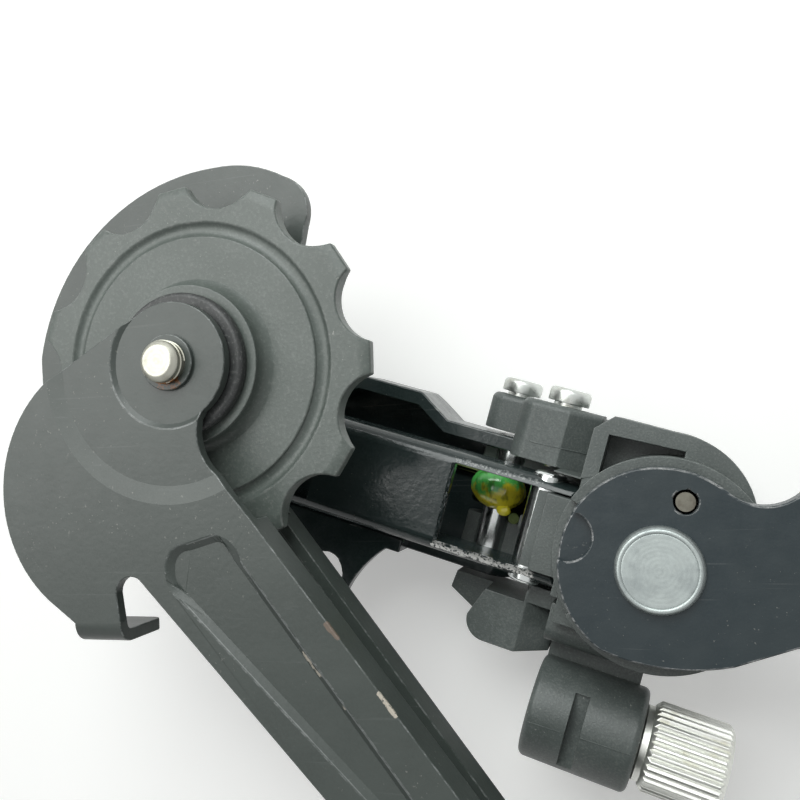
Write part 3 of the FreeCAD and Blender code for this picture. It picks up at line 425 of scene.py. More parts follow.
def on_cage(start: Pair, end: Pair, radius: float, kind: MarkKind = MarkKind.BARE,
            broken: float = 0.0, depth: float = 17.2) -> Mark:
    """A mark on the inner cage plate.

    Args:
        start: One end, in the cage's own axes.
        end: The other end.
        radius: Half its width, in millimetres.
        kind: What it shows.
        broken: How broken up it is.
        depth: Place along the third axis.

    Returns:
        The mark.
    """
    return Mark(CAGE_AXES.place(*start, depth), CAGE_AXES.place(*end, depth), radius, kind, 0.25, broken)


def on_link(start: Point, end: Point, radius: float, kind: MarkKind, broken: float = 0.0) -> Mark:
    """A mark on a link, in the linkage's own axes.

    Args:
        start: One end.
        end: The other end.
        radius: Half its width, in millimetres.
        kind: What it shows.
        broken: How broken up it is.

    Returns:
        The mark.
    """
    return Mark(LINK_AXES.place(*start), LINK_AXES.place(*end), radius, kind, 0.5, broken)


@dataclass(frozen=True)
class Paint:
    """A dark coat on metal, lighter in strips along its edges as rubbed wear and painted highlight, with
    scratches, chips and dust on it.
    """

    name: str
    dark: Colour
    light: Colour
    roughness: Pair
    peel: float = 0.00002
    peel_size: float = 0.0007
    gloss: float = 0.5
    dust: float = 0.5
    worn_and_edge_highlight: Colour = (0.26, 0.27, 0.26)
    edge_wear_and_highlight: Pair = (0.50, 0.66)
    marks: tuple[Mark, ...] = ()
    cloud_size: float = 0.011
    scuff_size: float = 0.0009
    line_size: float = 0.0006
    grain_size: float = 0.00034
    sheen_size: float = 0.0028
    dust_tint: Colour = (0.36, 0.36, 0.33)

    def material(self, edge: bool = False) -> Material:
        """Build the coat.

        Args:
            edge: True for the strips along the edges, which are lightened as rubbed wear and painted
                highlight.

        Returns:
            The material.
        """
        sheet = Sheet(self.name + ("_edge" if edge else ""))
        sheet.shader.inputs["Specular IOR Level"].default_value = self.gloss
        cloud = sheet.fade(sheet.noise(self.cloud_size, 6.0, 0.62), 0.3, 0.7)
        colour = sheet.blend(cloud, self.dark, self.light)
        scuff = sheet.noise(self.scuff_size, 5.0, 0.6, sheet.stretched((1.0, 1.0, 0.22), (0.0, 0.6, 0.0)))
        # On the edge strips the wear colour covers much of each strip: rubbed wear, and a painted highlight
        # along the rounded edges. Elsewhere it is scattered scuffing.
        rubbed_and_edge_highlight = sheet.fade(scuff, *self.edge_wear_and_highlight) if edge else sheet.fade(scuff, 0.64, 0.82, 0.0, 0.22)
        colour = sheet.blend(rubbed_and_edge_highlight, colour, self.worn_and_edge_highlight)
        for turn in (0.5, -0.9):
            streaks = sheet.stretched((1.0, 1.0, 0.025), (0.0, turn, 0.0))
            lines = sheet.noise(self.line_size, 2.0, 0.5, streaks)
            colour = sheet.blend(sheet.fade(lines, 0.70, 0.76, 0.0, 0.14), colour, self.worn_and_edge_highlight)
        colour = sheet.blend(sheet.dust(0.67, 0.42, self.dust), colour, self.dust_tint)
        grains = sheet.fade(sheet.noise(self.grain_size, 3.0, 0.7), 0.34, 0.66)
        colour = sheet.blend(sheet.number("MULTIPLY", grains, 0.6), colour, self.light)
        rough = sheet.fade(sheet.noise(self.sheen_size, 6.0, 0.68), 0.28, 0.72, *self.roughness)
        metal: Value = 0.0
        for mark in self.marks:
            inside = mark.mask(sheet)
            colour = sheet.blend(inside, colour, mark.kind.tint)
            if mark.kind.metallic:
                shine = sheet.number("MULTIPLY", inside, mark.kind.metallic)
                metal = shine if isinstance(metal, float) else sheet.number("MAXIMUM", metal, shine)
        normal = sheet.relief(sheet.noise(self.peel_size, 2.0), self.peel)
        normal = sheet.relief(scuff, self.peel * 0.5, 0.6, normal)
        return sheet.finish(colour, rough, normal, metal)


@dataclass(frozen=True)
class Moulded:
    """Dark moulded plastic with a spark-etched grain, paler rubbed spots, and paler strips along its edges as
    rubbed wear and painted highlight.
    """

    name: str
    dark: Colour
    light: Colour
    roughness: Pair
    grain: float = 0.00005
    grain_size: float = 0.0004
    rubbed_and_edge_highlight: Colour = (0.20, 0.21, 0.20)
    cloud_size: float = 0.008
    scuff_size: float = 0.0012
    sheen_size: float = 0.002
    wave_size: float = 0.0025
    dust_tint: Colour = (0.42, 0.42, 0.39)

    def material(self, edge: bool = False) -> Material:
        """Build the plastic.

        Args:
            edge: True for the strips along the edges, which are paler as rubbed wear and painted highlight.

        Returns:
            The material.
        """
        sheet = Sheet(self.name + ("_edge" if edge else ""))
        cloud = sheet.fade(sheet.noise(self.cloud_size, 6.0, 0.66), 0.3, 0.7)
        colour = sheet.blend(cloud, self.dark, self.light)
        scuff = sheet.noise(self.scuff_size, 6.0, 0.68)
        # On the edge strips the paler colour is stronger: rubbed wear, and a painted highlight along the
        # rounded edges.
        mark = sheet.fade(scuff, 0.45, 0.68, 0.0, 0.6) if edge else sheet.fade(scuff, 0.58, 0.8, 0.0, 0.45)
        colour = sheet.blend(mark, colour, self.rubbed_and_edge_highlight)
        pits = sheet.noise(self.grain_size, 3.0, 0.65)
        colour = sheet.blend(sheet.fade(pits, 0.62, 0.34, 0.0, 0.6), colour, self.dark)
        colour = sheet.blend(sheet.fade(pits, 0.52, 0.72, 0.0, 0.4), colour, self.rubbed_and_edge_highlight)
        colour = sheet.blend(sheet.dust(0.69, 0.45, 0.6), colour, self.dust_tint)
        rough = sheet.fade(sheet.noise(self.sheen_size, 5.0, 0.65), 0.25, 0.75, *self.roughness)
        normal = sheet.relief(pits, self.grain)
        normal = sheet.relief(sheet.noise(self.wave_size, 3.0), self.grain * 0.8, 0.8, normal)
        return sheet.finish(colour, rough, normal)


@dataclass(frozen=True)
class Metal:
    """Bare or plated metal with stains, fine scratches and turning marks."""

    name: str
    bright: Colour
    stain: Colour
    roughness: Pair
    stained: Pair = (0.5, 0.8)
    scratch: float = 0.000012
    turned_about: Point | None = None
    marks: tuple[Mark, ...] = ()
    blotch_size: float = 0.0035
    sheen_size: float = 0.0012
    line_size: float = 0.0006
    turning_pitch: float = 0.00055
    turning_depth: float = 0.000003

    def material(self, edge: bool = False) -> Material:
        """Build the metal.

        Args:
            edge: True for the strips along the edges, which are brighter.

        Returns:
            The material.
        """
        sheet = Sheet(self.name + ("_edge" if edge else ""))
        blotch = sheet.fade(sheet.noise(self.blotch_size, 7.0, 0.66), *self.stained)
        colour = sheet.blend(sheet.number("MULTIPLY", blotch, 0.4 if edge else 1.0), self.bright, self.stain)
        rough = sheet.fade(sheet.noise(self.sheen_size, 5.0, 0.65), 0.25, 0.75, *self.roughness)
        lines = sheet.noise(self.line_size, 3.0, 0.6, sheet.stretched((1.0, 0.12, 1.0)))
        normal = sheet.relief(lines, self.scratch)
        if self.turned_about is not None:
            turning = sheet.rings(self.turned_about, self.turning_pitch)
            colour = sheet.blend(sheet.number("MULTIPLY", turning, 0.12), colour, self.stain)
            normal = sheet.relief(turning, self.turning_depth, 0.8, normal)
        for spot in self.marks:
            inside = spot.mask(sheet)
            colour = sheet.blend(inside, colour, spot.kind.tint)
            rough = sheet.number("MAXIMUM", rough, sheet.number("MULTIPLY", inside, 0.6))
        return sheet.finish(colour, rough, normal, 1.0)


@dataclass(frozen=True)
class Grease:
    """Thick clear grease, green above and yellow below, with faint stripes."""

    name: str
    green: Colour
    yellow: Colour
    roughness: float = 0.12
    middle: Point = (-8.0, 2.4, -9.0)
    tilt: float = 0.35
    wander_size: float = 0.0024
    wander_reach: float = 0.0016
    stripe: Colour = (0.05, 0.09, 0.015)
    stripe_size: float = 0.0011
    stripe_depth: float = 0.00012

    def material(self, edge: bool = False) -> Material:
        """Build the grease.

        Args:
            edge: Grease has no edges, so this changes nothing.

        Returns:
            The material.
        """
        sheet = Sheet(self.name)
        height = sheet.vector("DOT_PRODUCT", sheet.place, list(LINK_AXES.second))
        swirl = sheet.noise(self.wander_size, 4.0, 0.6)
        wander = sheet.fade(swirl, 0.25, 0.75, -self.wander_reach, self.wander_reach)
        along = sheet.vector("DOT_PRODUCT", sheet.place, list(LINK_AXES.first))
        tilt = sheet.number("MULTIPLY", along, self.tilt)
        slant = sheet.number("SUBTRACT", sheet.number("ADD", height, wander), tilt)
        middle = Vector(LINK_AXES.place(*self.middle)) * MM
        split = middle.dot(Vector(LINK_AXES.second)) - self.tilt * middle.dot(Vector(LINK_AXES.first))
        colour = sheet.blend(sheet.fade(slant, split - 0.0006, split + 0.0012), self.yellow, self.green)
        drawn_out = sheet.stretched((0.35, 1.0, 1.0), (0.0, 0.5, 0.0))
        stripes = sheet.noise(self.stripe_size, 3.0, 0.6, drawn_out)
        colour = sheet.blend(sheet.fade(stripes, 0.48, 0.68, 0.0, 0.6), colour, self.stripe)
        sheet.shader.inputs["Coat Weight"].default_value = 0.6
        sheet.shader.inputs["Coat Roughness"].default_value = 0.05
        normal = sheet.relief(stripes, self.stripe_depth)
        return sheet.finish(colour, self.roughness, normal)


Finish = Union[Paint, Moulded, Metal, Grease]

CAGE_MARKS = (
    on_cage((19.4, -30.8), (20.6, -32.2), 0.40, MarkKind.BROWN),
    on_cage((15.7, -33.9), (17.9, -36.5), 0.5),
    on_cage((19.1, -38.4), (20.9, -40.1), 0.34, MarkKind.BARE, 0.36),
    on_cage((25.2, -38.2), (27.0, -40.5), 0.32, MarkKind.BARE, 0.36),
    on_cage((8.9, -23.8), (30.8, -52.6), 0.17, MarkKind.WORN),
    on_cage((1.0, -28.1), (29.0, -55.5), 0.10, MarkKind.WORN),
    on_cage((2.0, -21.7), (5.6, -20.7), 0.12, MarkKind.WORN),
    on_cage((20.6, -45.2), (23.5, -48.2), 0.14, MarkKind.WORN, 0.4),
    on_cage((-0.8, -2.7), (1.2, -2.6), 0.7, MarkKind.RUST, 0.46),
)
LINK_MARKS = (
    on_link((-12.3, -6.3, 3.0), (1.0, -6.3, 3.0), 0.85, MarkKind.RAW, 0.42),
    on_link((-12.4, 6.2, 3.0), (-1.0, 6.4, 3.0), 0.55, MarkKind.WORN, 0.48),
)
BOLT_MARKS = (on_cage((-1.6, -2.0), (1.2, -2.4), 0.75, MarkKind.RUST, 0.42, 17.4),)
SPRING_GREASE = Grease("spring_grease", (0.13, 0.70, 0.14), (1.0, 0.88, 0.05))

# The paints' edge wear ranges and wear colours, and the plastics' paler colours, also make the painted
# highlight on their edge strips.
FINISHES: dict[Slot, Finish] = {
    Slot.HANGER: Paint("hanger_dark_coat", (0.014, 0.026, 0.032), (0.025, 0.037, 0.041), (0.32, 0.44),
                       peel_size=0.0006, gloss=0.45, dust=0.8, worn_and_edge_highlight=(0.34, 0.345, 0.345),
                       edge_wear_and_highlight=(0.42, 0.60)),
    Slot.RIVET: Metal("rivet_matte_steel", (0.38, 0.42, 0.41), (0.26, 0.29, 0.29), (0.42, 0.56), (0.35, 0.75),
                      scratch=0.00001, turned_about=HANGER_AXES.origin),
    Slot.SPRING: Metal("spring_dark_steel", (0.16, 0.155, 0.13), (0.09, 0.08, 0.065), (0.40, 0.55),
                       (0.4, 0.7)),
    Slot.KNUCKLE: Moulded("knuckle_nylon", (0.074, 0.088, 0.083), (0.122, 0.140, 0.133), (0.38, 0.50),
                          grain_size=0.00028, rubbed_and_edge_highlight=(0.19, 0.205, 0.195)),
    Slot.PIN: Metal("pin_chrome", (0.66, 0.69, 0.68), (0.40, 0.41, 0.39), (0.16, 0.26), (0.60, 0.90),
                    scratch=0.000004),
    Slot.SCREW: Metal("screw_zinc", (0.66, 0.69, 0.66), (0.36, 0.36, 0.30), (0.26, 0.42), (0.45, 0.75)),
    Slot.KNURL: Metal("knurl_alloy", (0.76, 0.77, 0.73), (0.56, 0.54, 0.44), (0.36, 0.50)),
    Slot.LINK: Paint("link_gloss_paint", (0.015, 0.025, 0.025), (0.027, 0.039, 0.038), (0.15, 0.27),
                     peel=0.00004, peel_size=0.0009, dust=0.3, worn_and_edge_highlight=(0.20, 0.21, 0.20),
                     edge_wear_and_highlight=(0.54, 0.70), marks=LINK_MARKS),
    Slot.GREASE: Metal("greased_wire", (0.045, 0.055, 0.022), (0.025, 0.035, 0.012), (0.14, 0.28),
                       (0.35, 0.7)),
    Slot.CAST: Paint("cast_dark_paint", (0.012, 0.014, 0.014), (0.026, 0.028, 0.027), (0.36, 0.52),
                     peel=0.00006),
    Slot.CAGE: Paint("cage_satin_paint", (0.044, 0.055, 0.049), (0.058, 0.071, 0.064), (0.33, 0.39),
                     worn_and_edge_highlight=(0.20, 0.215, 0.21), edge_wear_and_highlight=(0.42, 0.62), marks=CAGE_MARKS),
    Slot.PULLEY: Moulded("pulley_nylon", (0.081, 0.099, 0.088), (0.116, 0.137, 0.124), (0.36, 0.44),
                         grain=0.00003, rubbed_and_edge_highlight=(0.19, 0.20, 0.19)),
    Slot.BUSH: Metal("bush_steel", (0.55, 0.55, 0.53), (0.30, 0.28, 0.25), (0.30, 0.48)),
    Slot.CAP: Moulded("cap_plastic", (0.020, 0.022, 0.022), (0.036, 0.039, 0.038), (0.40, 0.55),
                      grain=0.00002),
    Slot.BOLT: Metal("bolt_zinc", (0.44, 0.44, 0.385), (0.22, 0.21, 0.16), (0.40, 0.52), (0.42, 0.75),
                     scratch=0.00002, turned_about=CAGE_AXES.origin, marks=BOLT_MARKS),
}


class Wardrobe:
    """Keeps one material for each finish, made when first asked for."""

    def __init__(self) -> None:
        """Start with no materials."""
        self.made: dict[tuple[str, bool], Material] = {}

    def material(self, slot: Slot, edge: bool = False) -> Material:
        """The material of a slot's faces, or of the strips along its edges.

        Args:
            slot: The slot.
            edge: True for the strips.

        Returns:
            The material, the same one each time.
        """
        key = (slot.value, edge)
        if key not in self.made:
            self.made[key] = FINISHES[slot].material(edge)
        return self.made[key]


def only(piece: Piece) -> None:
    """Select one piece alone and make it active.

    Args:
        piece: The piece to select.
    """
    bpy.ops.object.select_all(action="DESELECT")
    piece.select_set(True)
    bpy.context.view_layer.objects.active = piece


def edit_all() -> None:
    """Go into edit mode on the active piece, with all of it selected."""
    bpy.ops.object.mode_set(mode="EDIT")
    bpy.ops.mesh.select_all(action="SELECT")


def settle() -> None:
    """Put the active piece's place, turn and scale into its mesh."""
    bpy.ops.object.transform_apply(location=True, rotation=True, scale=True)


def body_name(node: str) -> str:
    """The body that a CAD node rides on."""
    bodies = frame["record"]["behaviour"]["bodies"]
    return next(body for body, members in bodies.items() if node in members)


@dataclass(frozen=True)
class EdgeBreak:
    """The rounded edge of a stamped, moulded or turned piece.

    Where flat faces aren't merged first, the strips keep an even width and don't slide along inner edges.
    """

    width: float
    segments: int = 2
    sharper_than: float = math.radians(28.0)
    smooth_to: float = math.radians(32.0)
    merge_flat: bool = True

    def mark(self, mesh: bpy.types.Mesh) -> None:
        """Give full bevel weight to the edges that stand out.

        Args:
            mesh: A merged mesh.
        """
        weights = mesh.attributes.new("bevel_weight_edge", "FLOAT", "EDGE")
        sides: dict[tuple[int, int], list[bpy.types.MeshPolygon]] = {}
        for polygon in mesh.polygons:
            for key in polygon.edge_keys:
                sides.setdefault(key, []).append(polygon)
        for edge in mesh.edges:
            pair = sides.get(tuple(sorted(edge.vertices)), [])
            if len(pair) != 2:
                continue
            first, second = pair
            turn = first.normal.angle(second.normal, 0.0)
            stands_out = (second.center - first.center).dot(first.normal) < 0.0
            if turn > self.sharper_than and stands_out:
                weights.data[edge.index].value = 1.0

    def apply(self, piece: Piece) -> None:
        """Round the edges that stand out, in strips of the piece's second material.

        Args:
            piece: The active piece, with a merged mesh.
        """
        self.mark(piece.data)
        bevel = piece.modifiers.new("edge_break", "BEVEL")
        bevel.width = self.width * MM
        bevel.segments = self.segments
        bevel.limit_method = "WEIGHT"
        bevel.use_clamp_overlap = False
        bevel.loop_slide = self.merge_flat
        bevel.material = 1
        bpy.ops.object.modifier_apply(modifier=bevel.name)


@dataclass(frozen=True)
class Winding:
    """A coil spring between the two bodies its legs sit in, with the ends of its axis."""

    first: str
    second: str
    start: Point
    end: Point

    def apply(self, piece: Piece) -> None:
        """Put the piece's place into its mesh; the coil is not made to turn with its joint."""
        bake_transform(piece)


@dataclass(frozen=True)
class Dressed:
    """A CAD node, how its edges are broken and how it winds."""

    node: str
    slot: Slot
    edges: EdgeBreak | None = None
    winding: Winding | None = None


class Dresser:
    """Gives CAD nodes their finish, or a copy with broken edges in their place."""

    def __init__(self, wardrobe: Wardrobe) -> None:
        """Keep the materials to use."""
        self.wardrobe = wardrobe

    def paint(self, item: Dressed) -> Piece:
        """Assign the finish to the node itself.

        Args:
            item: The node.

        Returns:
            The node's own object.
        """
        piece = frame["nodes"][item.node]
        piece.data.materials.clear()
        piece.data.materials.append(self.wardrobe.material(item.slot))
        return piece

    def copied(self, item: Dressed) -> Piece:
        """Replace the node with a merged copy, which rides on no body yet.

        Args:
            item: The node.

        Returns:
            The copy.
        """
        only(frame["nodes"][item.node])
        bpy.ops.object.duplicate()
        piece = bpy.context.view_layer.objects.active
        piece.name = item.node + "_dressed"
        piece.parent = None
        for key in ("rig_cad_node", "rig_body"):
            if key in piece:
                del piece[key]
        piece.data.materials.clear()
        piece.data.materials.append(self.wardrobe.material(item.slot))
        piece.data.materials.append(self.wardrobe.material(item.slot, True))
        edit_all()
        bpy.ops.mesh.remove_doubles(threshold=MERGE_WITHIN)
        if item.edges and item.edges.merge_flat:
            bpy.ops.mesh.dissolve_limited(angle_limit=FLAT_WITHIN)
        bpy.ops.mesh.customdata_custom_splitnormals_clear()
        bpy.ops.object.mode_set(mode="OBJECT")
        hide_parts(item.node)
        return piece

    def soften(self, item: Dressed) -> Piece:
        """Show a copy of the node whose edges are broken.

        Args:
            item: The node and its edges.

        Returns:
            The copy.
        """
        piece = self.copied(item)
        item.edges.apply(piece)
        bpy.ops.object.shade_smooth_by_angle(angle=item.edges.smooth_to)
        weighted = piece.modifiers.new("flat_faces", "WEIGHTED_NORMAL")
        weighted.keep_sharp = True
        bpy.ops.object.modifier_apply(modifier=weighted.name)
        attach(piece, body_name(item.node))
        return piece

    def wind(self, item: Dressed) -> Piece:
        """Show a merged copy of a coil spring in place of its node.

        Args:
            item: The spring's node and its winding.

        Returns:
            The copy.
        """
        piece = self.copied(item)
        bpy.ops.object.shade_smooth_by_angle(angle=ROUND_TO)
        item.winding.apply(piece)
        return piece

    def dress(self, item: Dressed) -> Piece:
        """Paint a node, or show a softened or merged copy in its place, as it asks.

        Args:
            item: The node.

        Returns:
            The piece that is shown.
        """
        if item.winding:
            piece = self.wind(item)
        else:
            piece = self.soften(item) if item.edges else self.paint(item)
        strips = sum(1 for face in piece.data.polygons if face.material_index == 1)
        LOG.info("%s: %d faces, %d of them along edges", piece.name, len(piece.data.polygons), strips)
        return piece


@dataclass(frozen=True)
class Seat:
    """A small fitting's name, the axes it is placed in, the body it rides on and the slot of its finish."""

    name: str
    axes: Axes
    body: str
    slot: Slot


class Bench:
    """Where the small fittings are modelled by hand."""

    steps_per_turn = 40
    ridge_share = 0.36
    root_share = 0.2
    burr_cuts = 22
    seam_softness = 0.35
    lump_wander = 0.12

    def __init__(self, wardrobe: Wardrobe) -> None:
        """Keep the materials to use."""
        self.wardrobe = wardrobe

    def edit(self) -> Piece:
        """The new primitive, in edit mode with all of it selected."""
        edit_all()
        return bpy.context.active_object

    def apply(self, piece: Piece, kind: str, **settings: object) -> None:
        """Add a modifier and apply it.

        Args:
            piece: The piece to change.
            kind: Blender's name for the modifier type.
            settings: Properties to set on it.
        """
        only(piece)
        modifier = piece.modifiers.new(kind.lower(), kind)
        for key, value in settings.items():
            setattr(modifier, key, value)
        bpy.ops.object.modifier_apply(modifier=modifier.name)

    def hand_over(self, piece: Piece, seat: Seat, place: Matrix,
                  material: Material | None = None) -> Piece:
        """Put a finished piece in its place and on its body.

        Args:
            piece: The finished piece, modelled at the origin.
            seat: Its name, body and slot.
            place: Change from the origin to its place.
            material: A material of its own, if it has one.

        Returns:
            The piece.
        """
        only(piece)
        piece.name = seat.name
        piece.matrix_world = place
        settle()
        edit_all()
        bpy.ops.mesh.normals_make_consistent(inside=False)
        bpy.ops.object.mode_set(mode="OBJECT")
        bpy.ops.object.shade_smooth_by_angle(angle=ROUND_TO)
        piece.data.materials.clear()
        piece.data.materials.append(material or self.wardrobe.material(seat.slot))
        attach(piece, seat.body)
        LOG.info("%s: %d faces", piece.name, len(piece.data.polygons))
        return piece

    def strip(self, seat: Seat, start: Point, end: Point, width: float, height: float,
              uneven: float = 0.0) -> Piece:
        """A thin raised line along a surface, such as a mould seam or a burr.

        Args:
            seat: Where it belongs.
            start: One end, in millimetres.
            end: The other end.
            width: Its width.
            height: Its height above the surface and below it.
            uneven: How far its outline wanders.

        Returns:
            The piece.
        """
        run = Vector(end) - Vector(start)
        bpy.ops.object.select_all(action="DESELECT")
        bpy.ops.mesh.primitive_cube_add(size=1.0)
        piece = self.edit()
        bpy.ops.transform.resize(value=(run.length * MM, width * MM, 2.0 * height * MM))
        if uneven:
            bpy.ops.mesh.subdivide(number_cuts=self.burr_cuts)
            bpy.ops.transform.vertex_random(offset=uneven * MM, seed=7)
        else:
            bpy.ops.mesh.bevel(offset=min(width, height) * self.seam_softness * MM, segments=2)
        bpy.ops.object.mode_set(mode="OBJECT")
        center = (Vector(start) + Vector(end)) / 2.0
        turn = run.to_track_quat("X", "Z").to_matrix().to_4x4()
        return self.hand_over(piece, seat, seat.axes.matrix(*center) @ turn)

    def thread(self, seat: Seat, foot: Point, radius: float, pitch: float, turns: float) -> Piece:
        """A screw thread's ridge round a bolt end.

        Args:
            seat: Where it belongs.
            foot: Where the thread starts on the bolt's axis, in millimetres.
            radius: Radius of the bolt.
            pitch: Distance between turns.
            turns: Number of turns.

        Returns:
            The piece.
        """
        bpy.ops.object.select_all(action="DESELECT")
        bpy.ops.mesh.primitive_circle_add(vertices=3, radius=pitch * self.ridge_share * MM)
        piece = bpy.context.active_object
        reach = (radius - pitch * self.root_share) * MM
        piece.matrix_world = Matrix(((0, 1, 0, reach), (0, 0, 1, 0), (1, 0, 0, 0), (0, 0, 0, 1)))
        settle()
        steps = int(self.steps_per_turn * turns)
        self.apply(piece, "SCREW", angle=2.0 * math.pi * turns, screw_offset=pitch * turns * MM, steps=steps,
                   render_steps=steps, use_merge_vertices=False)
        self.edit()
        bpy.ops.mesh.select_all(action="DESELECT")
        bpy.ops.mesh.select_mode(type="EDGE")
        bpy.ops.mesh.select_non_manifold()
        bpy.ops.mesh.edge_face_add()
        bpy.ops.object.mode_set(mode="OBJECT")
        return self.hand_over(piece, seat, seat.axes.matrix(*foot))

    def ring(self, seat: Seat, center: Point, radius: float, width: float, height: float) -> Piece:
        """A low raised ring on a round face.

        Args:
            seat: Where it belongs.
            center: Its centre, in millimetres.
            radius: Its radius.
            width: Half its width.
            height: Its height above the face.

        Returns:
            The piece.
        """
        bpy.ops.object.select_all(action="DESELECT")
        bpy.ops.mesh.primitive_torus_add(major_radius=radius * MM, minor_radius=width * MM,
                                         major_segments=128, minor_segments=12)
        piece = self.edit()
        bpy.ops.transform.resize(value=(1.0, 1.0, height / width))
        bpy.ops.object.mode_set(mode="OBJECT")
        return self.hand_over(piece, seat, seat.axes.matrix(*center))

    def blob(self, seat: Seat, center: Point, sizes: Point, cut: float,
             material: Material) -> Piece:
        """A soft lump of grease, cut flat at its back.

        Args:
            seat: Where it belongs.
            center: Its centre, in millimetres.
            sizes: Half its size along each axis.
            cut: Depth behind the centre where it ends.
            material: The grease.

        Returns:
            The piece.
        """
        bpy.ops.object.select_all(action="DESELECT")
        bpy.ops.mesh.primitive_ico_sphere_add(subdivisions=4, radius=1.0)
        piece = self.edit()
        bpy.ops.transform.resize(value=[size * MM for size in sizes])
        bpy.ops.transform.vertex_random(offset=self.lump_wander * MM, seed=4)
        bpy.ops.mesh.bisect(plane_co=(0.0, 0.0, -cut * MM), plane_no=(0.0, 0.0, 1.0), use_fill=True,
                            clear_inner=True)
        bpy.ops.mesh.select_all(action="SELECT")
        bpy.ops.mesh.vertices_smooth(factor=0.5, repeat=2)
        bpy.ops.object.mode_set(mode="OBJECT")
        self.apply(piece, "SUBSURF", levels=1, render_levels=1)
        return self.hand_over(piece, seat, seat.axes.matrix(*center), material)


@dataclass
class SubAssembly:
    """Pieces that are dressed together."""

    dresser: Dresser
    bench: Bench

    def items(self) -> list[Dressed]:
        """The CAD nodes of this sub-assembly."""
        return []

    def build(self) -> None:
        """Add the small fittings that the solids leave out."""

    def dress(self) -> None:
        """Dress every node."""
        for item in self.items():
            self.dresser.dress(item)


@dataclass
class Hanger(SubAssembly):
    """The bracket that bolts to the frame, its rivet and the spring under it."""

    edge: EdgeBreak = EdgeBreak(0.25, 3)
    coil: Pair = (-6.15, -10.375)
    rim_center: Point = (0.0, 0.0, 1.06)
    rim_radius: float = 4.7
    rim_width: float = 0.30
    rim_height: float = 0.17

    def items(self) -> list[Dressed]:
        """The hanger's nodes.

        Returns:
            Each node with its slot, its edges and its winding.
        """
        start, end = (HANGER_AXES.place(0.0, 0.0, depth) for depth in self.coil)
        winding = Winding("hanger", "upper_knuckle", start, end)
        return [
            Dressed("hanger_bracket", Slot.HANGER, self.edge),
            Dressed("pivot_rivet", Slot.RIVET),
            Dressed("upper_pivot_spring", Slot.SPRING, winding=winding),
        ]

    def build(self) -> None:
        """Add the rim that the rivet's head has from its forming."""
        seat = Seat("rivet_rim", HANGER_AXES, "hanger", Slot.RIVET)
        self.bench.ring(seat, self.rim_center, self.rim_radius, self.rim_width, self.rim_height)


@dataclass
class UpperKnuckle(SubAssembly):
    """The moulded knuckle with its pins, screws, adjuster and return spring."""

    edge: EdgeBreak = EdgeBreak(0.12, 2, merge_flat=False)
    pin_edge: EdgeBreak = EdgeBreak(0.12, 2)
    knurl_edge: EdgeBreak = EdgeBreak(0.07, 1)
    coil: Pair = (-0.2, 2.475)
    coil_pin: Pair = (-8.0, -13.0)
    seam_width: float = 0.16
    seam_height: float = 0.07
    seams: tuple[tuple[Point, Point], ...] = (
        ((5.8, -24.4, 3.98), (10.6, -24.2, 3.98)),
        ((12.7, -24.0, 4.0), (19.2, -23.8, 4.0)),
        ((-4.4, 10.8, -2.0), (-0.1, 11.0, -2.0)),
        ((0.1, 11.0, -2.06), (4.2, 11.1, -4.9)),
    )
    lumps: tuple[tuple[str, Point, Point, float], ...] = (
        ("spring_grease", (-8.3, 2.3, -10.6), (4.3, 3.2, 3.6), 2.3),
        ("grease_drop", (-6.4, -0.4, -8.6), (1.1, 0.85, 0.6), 0.4),
    )

    def items(self) -> list[Dressed]:
        """The knuckle's nodes.

        Returns:
            Each node with its slot, its edges and its winding.
        """
        along, depth = self.coil_pin
        start, end = (LINK_AXES.place(along, across, depth) for across in self.coil)
        winding = Winding("upper_knuckle", "outer_link", start, end)
        return [
            Dressed("upper_knuckle", Slot.KNUCKLE, self.edge),
            Dressed("inner_pin_upper", Slot.PIN, self.pin_edge),
            Dressed("outer_pin_upper", Slot.PIN, self.pin_edge),
            Dressed("limit_screw_front", Slot.SCREW, self.pin_edge),
            Dressed("limit_screw_back", Slot.SCREW, self.pin_edge),
            Dressed("barrel_adjuster", Slot.KNURL, self.knurl_edge),
            Dressed("return_spring", Slot.GREASE, winding=winding),
        ]

    def build(self) -> None:
        """Add the mould seams and the grease on the return spring."""
        for number, (start, end) in enumerate(self.seams):
            seat = Seat(f"knuckle_seam_{number}", LINK_AXES, "upper_knuckle", Slot.KNUCKLE)
            self.bench.strip(seat, start, end, self.seam_width, self.seam_height)
        grease = SPRING_GREASE.material()
        for name, center, sizes, cut in self.lumps:
            seat = Seat(name, LINK_AXES, "upper_knuckle", Slot.GREASE)
            self.bench.blob(seat, center, sizes, cut, grease)


@dataclass
class Links(SubAssembly):
    """The two pressed links with the cable clamp."""

    edge: EdgeBreak = EdgeBreak(0.12, 2)
    wide_edge: EdgeBreak = EdgeBreak(0.25, 3)
    clamp_edge: EdgeBreak = EdgeBreak(0.2, 2)
    burr_ends: tuple[Point, Point] = ((-12.75, -5.4, 3.0), (-12.85, 5.4, 3.0))
    burr_width: float = 0.34
    burr_height: float = 0.16
    burr_wander: float = 0.14

    def items(self) -> list[Dressed]:
        """The links' nodes.

        Returns:
            Each node with its slot and its edges.
        """
        return [
            Dressed("inner_link", Slot.LINK, self.edge),
            Dressed("outer_link", Slot.LINK, self.wide_edge),
            Dressed("cable_clamp", Slot.SCREW, self.clamp_edge),
            Dressed("cable_bolt", Slot.SCREW, self.clamp_edge),
        ]

    def build(self) -> None:
        """Add the burr that the punch left along the window."""
        seat = Seat("window_burr", LINK_AXES, "inner_link", Slot.LINK)
        self.bench.strip(seat, *self.burr_ends, self.burr_width, self.burr_height, self.burr_wander)


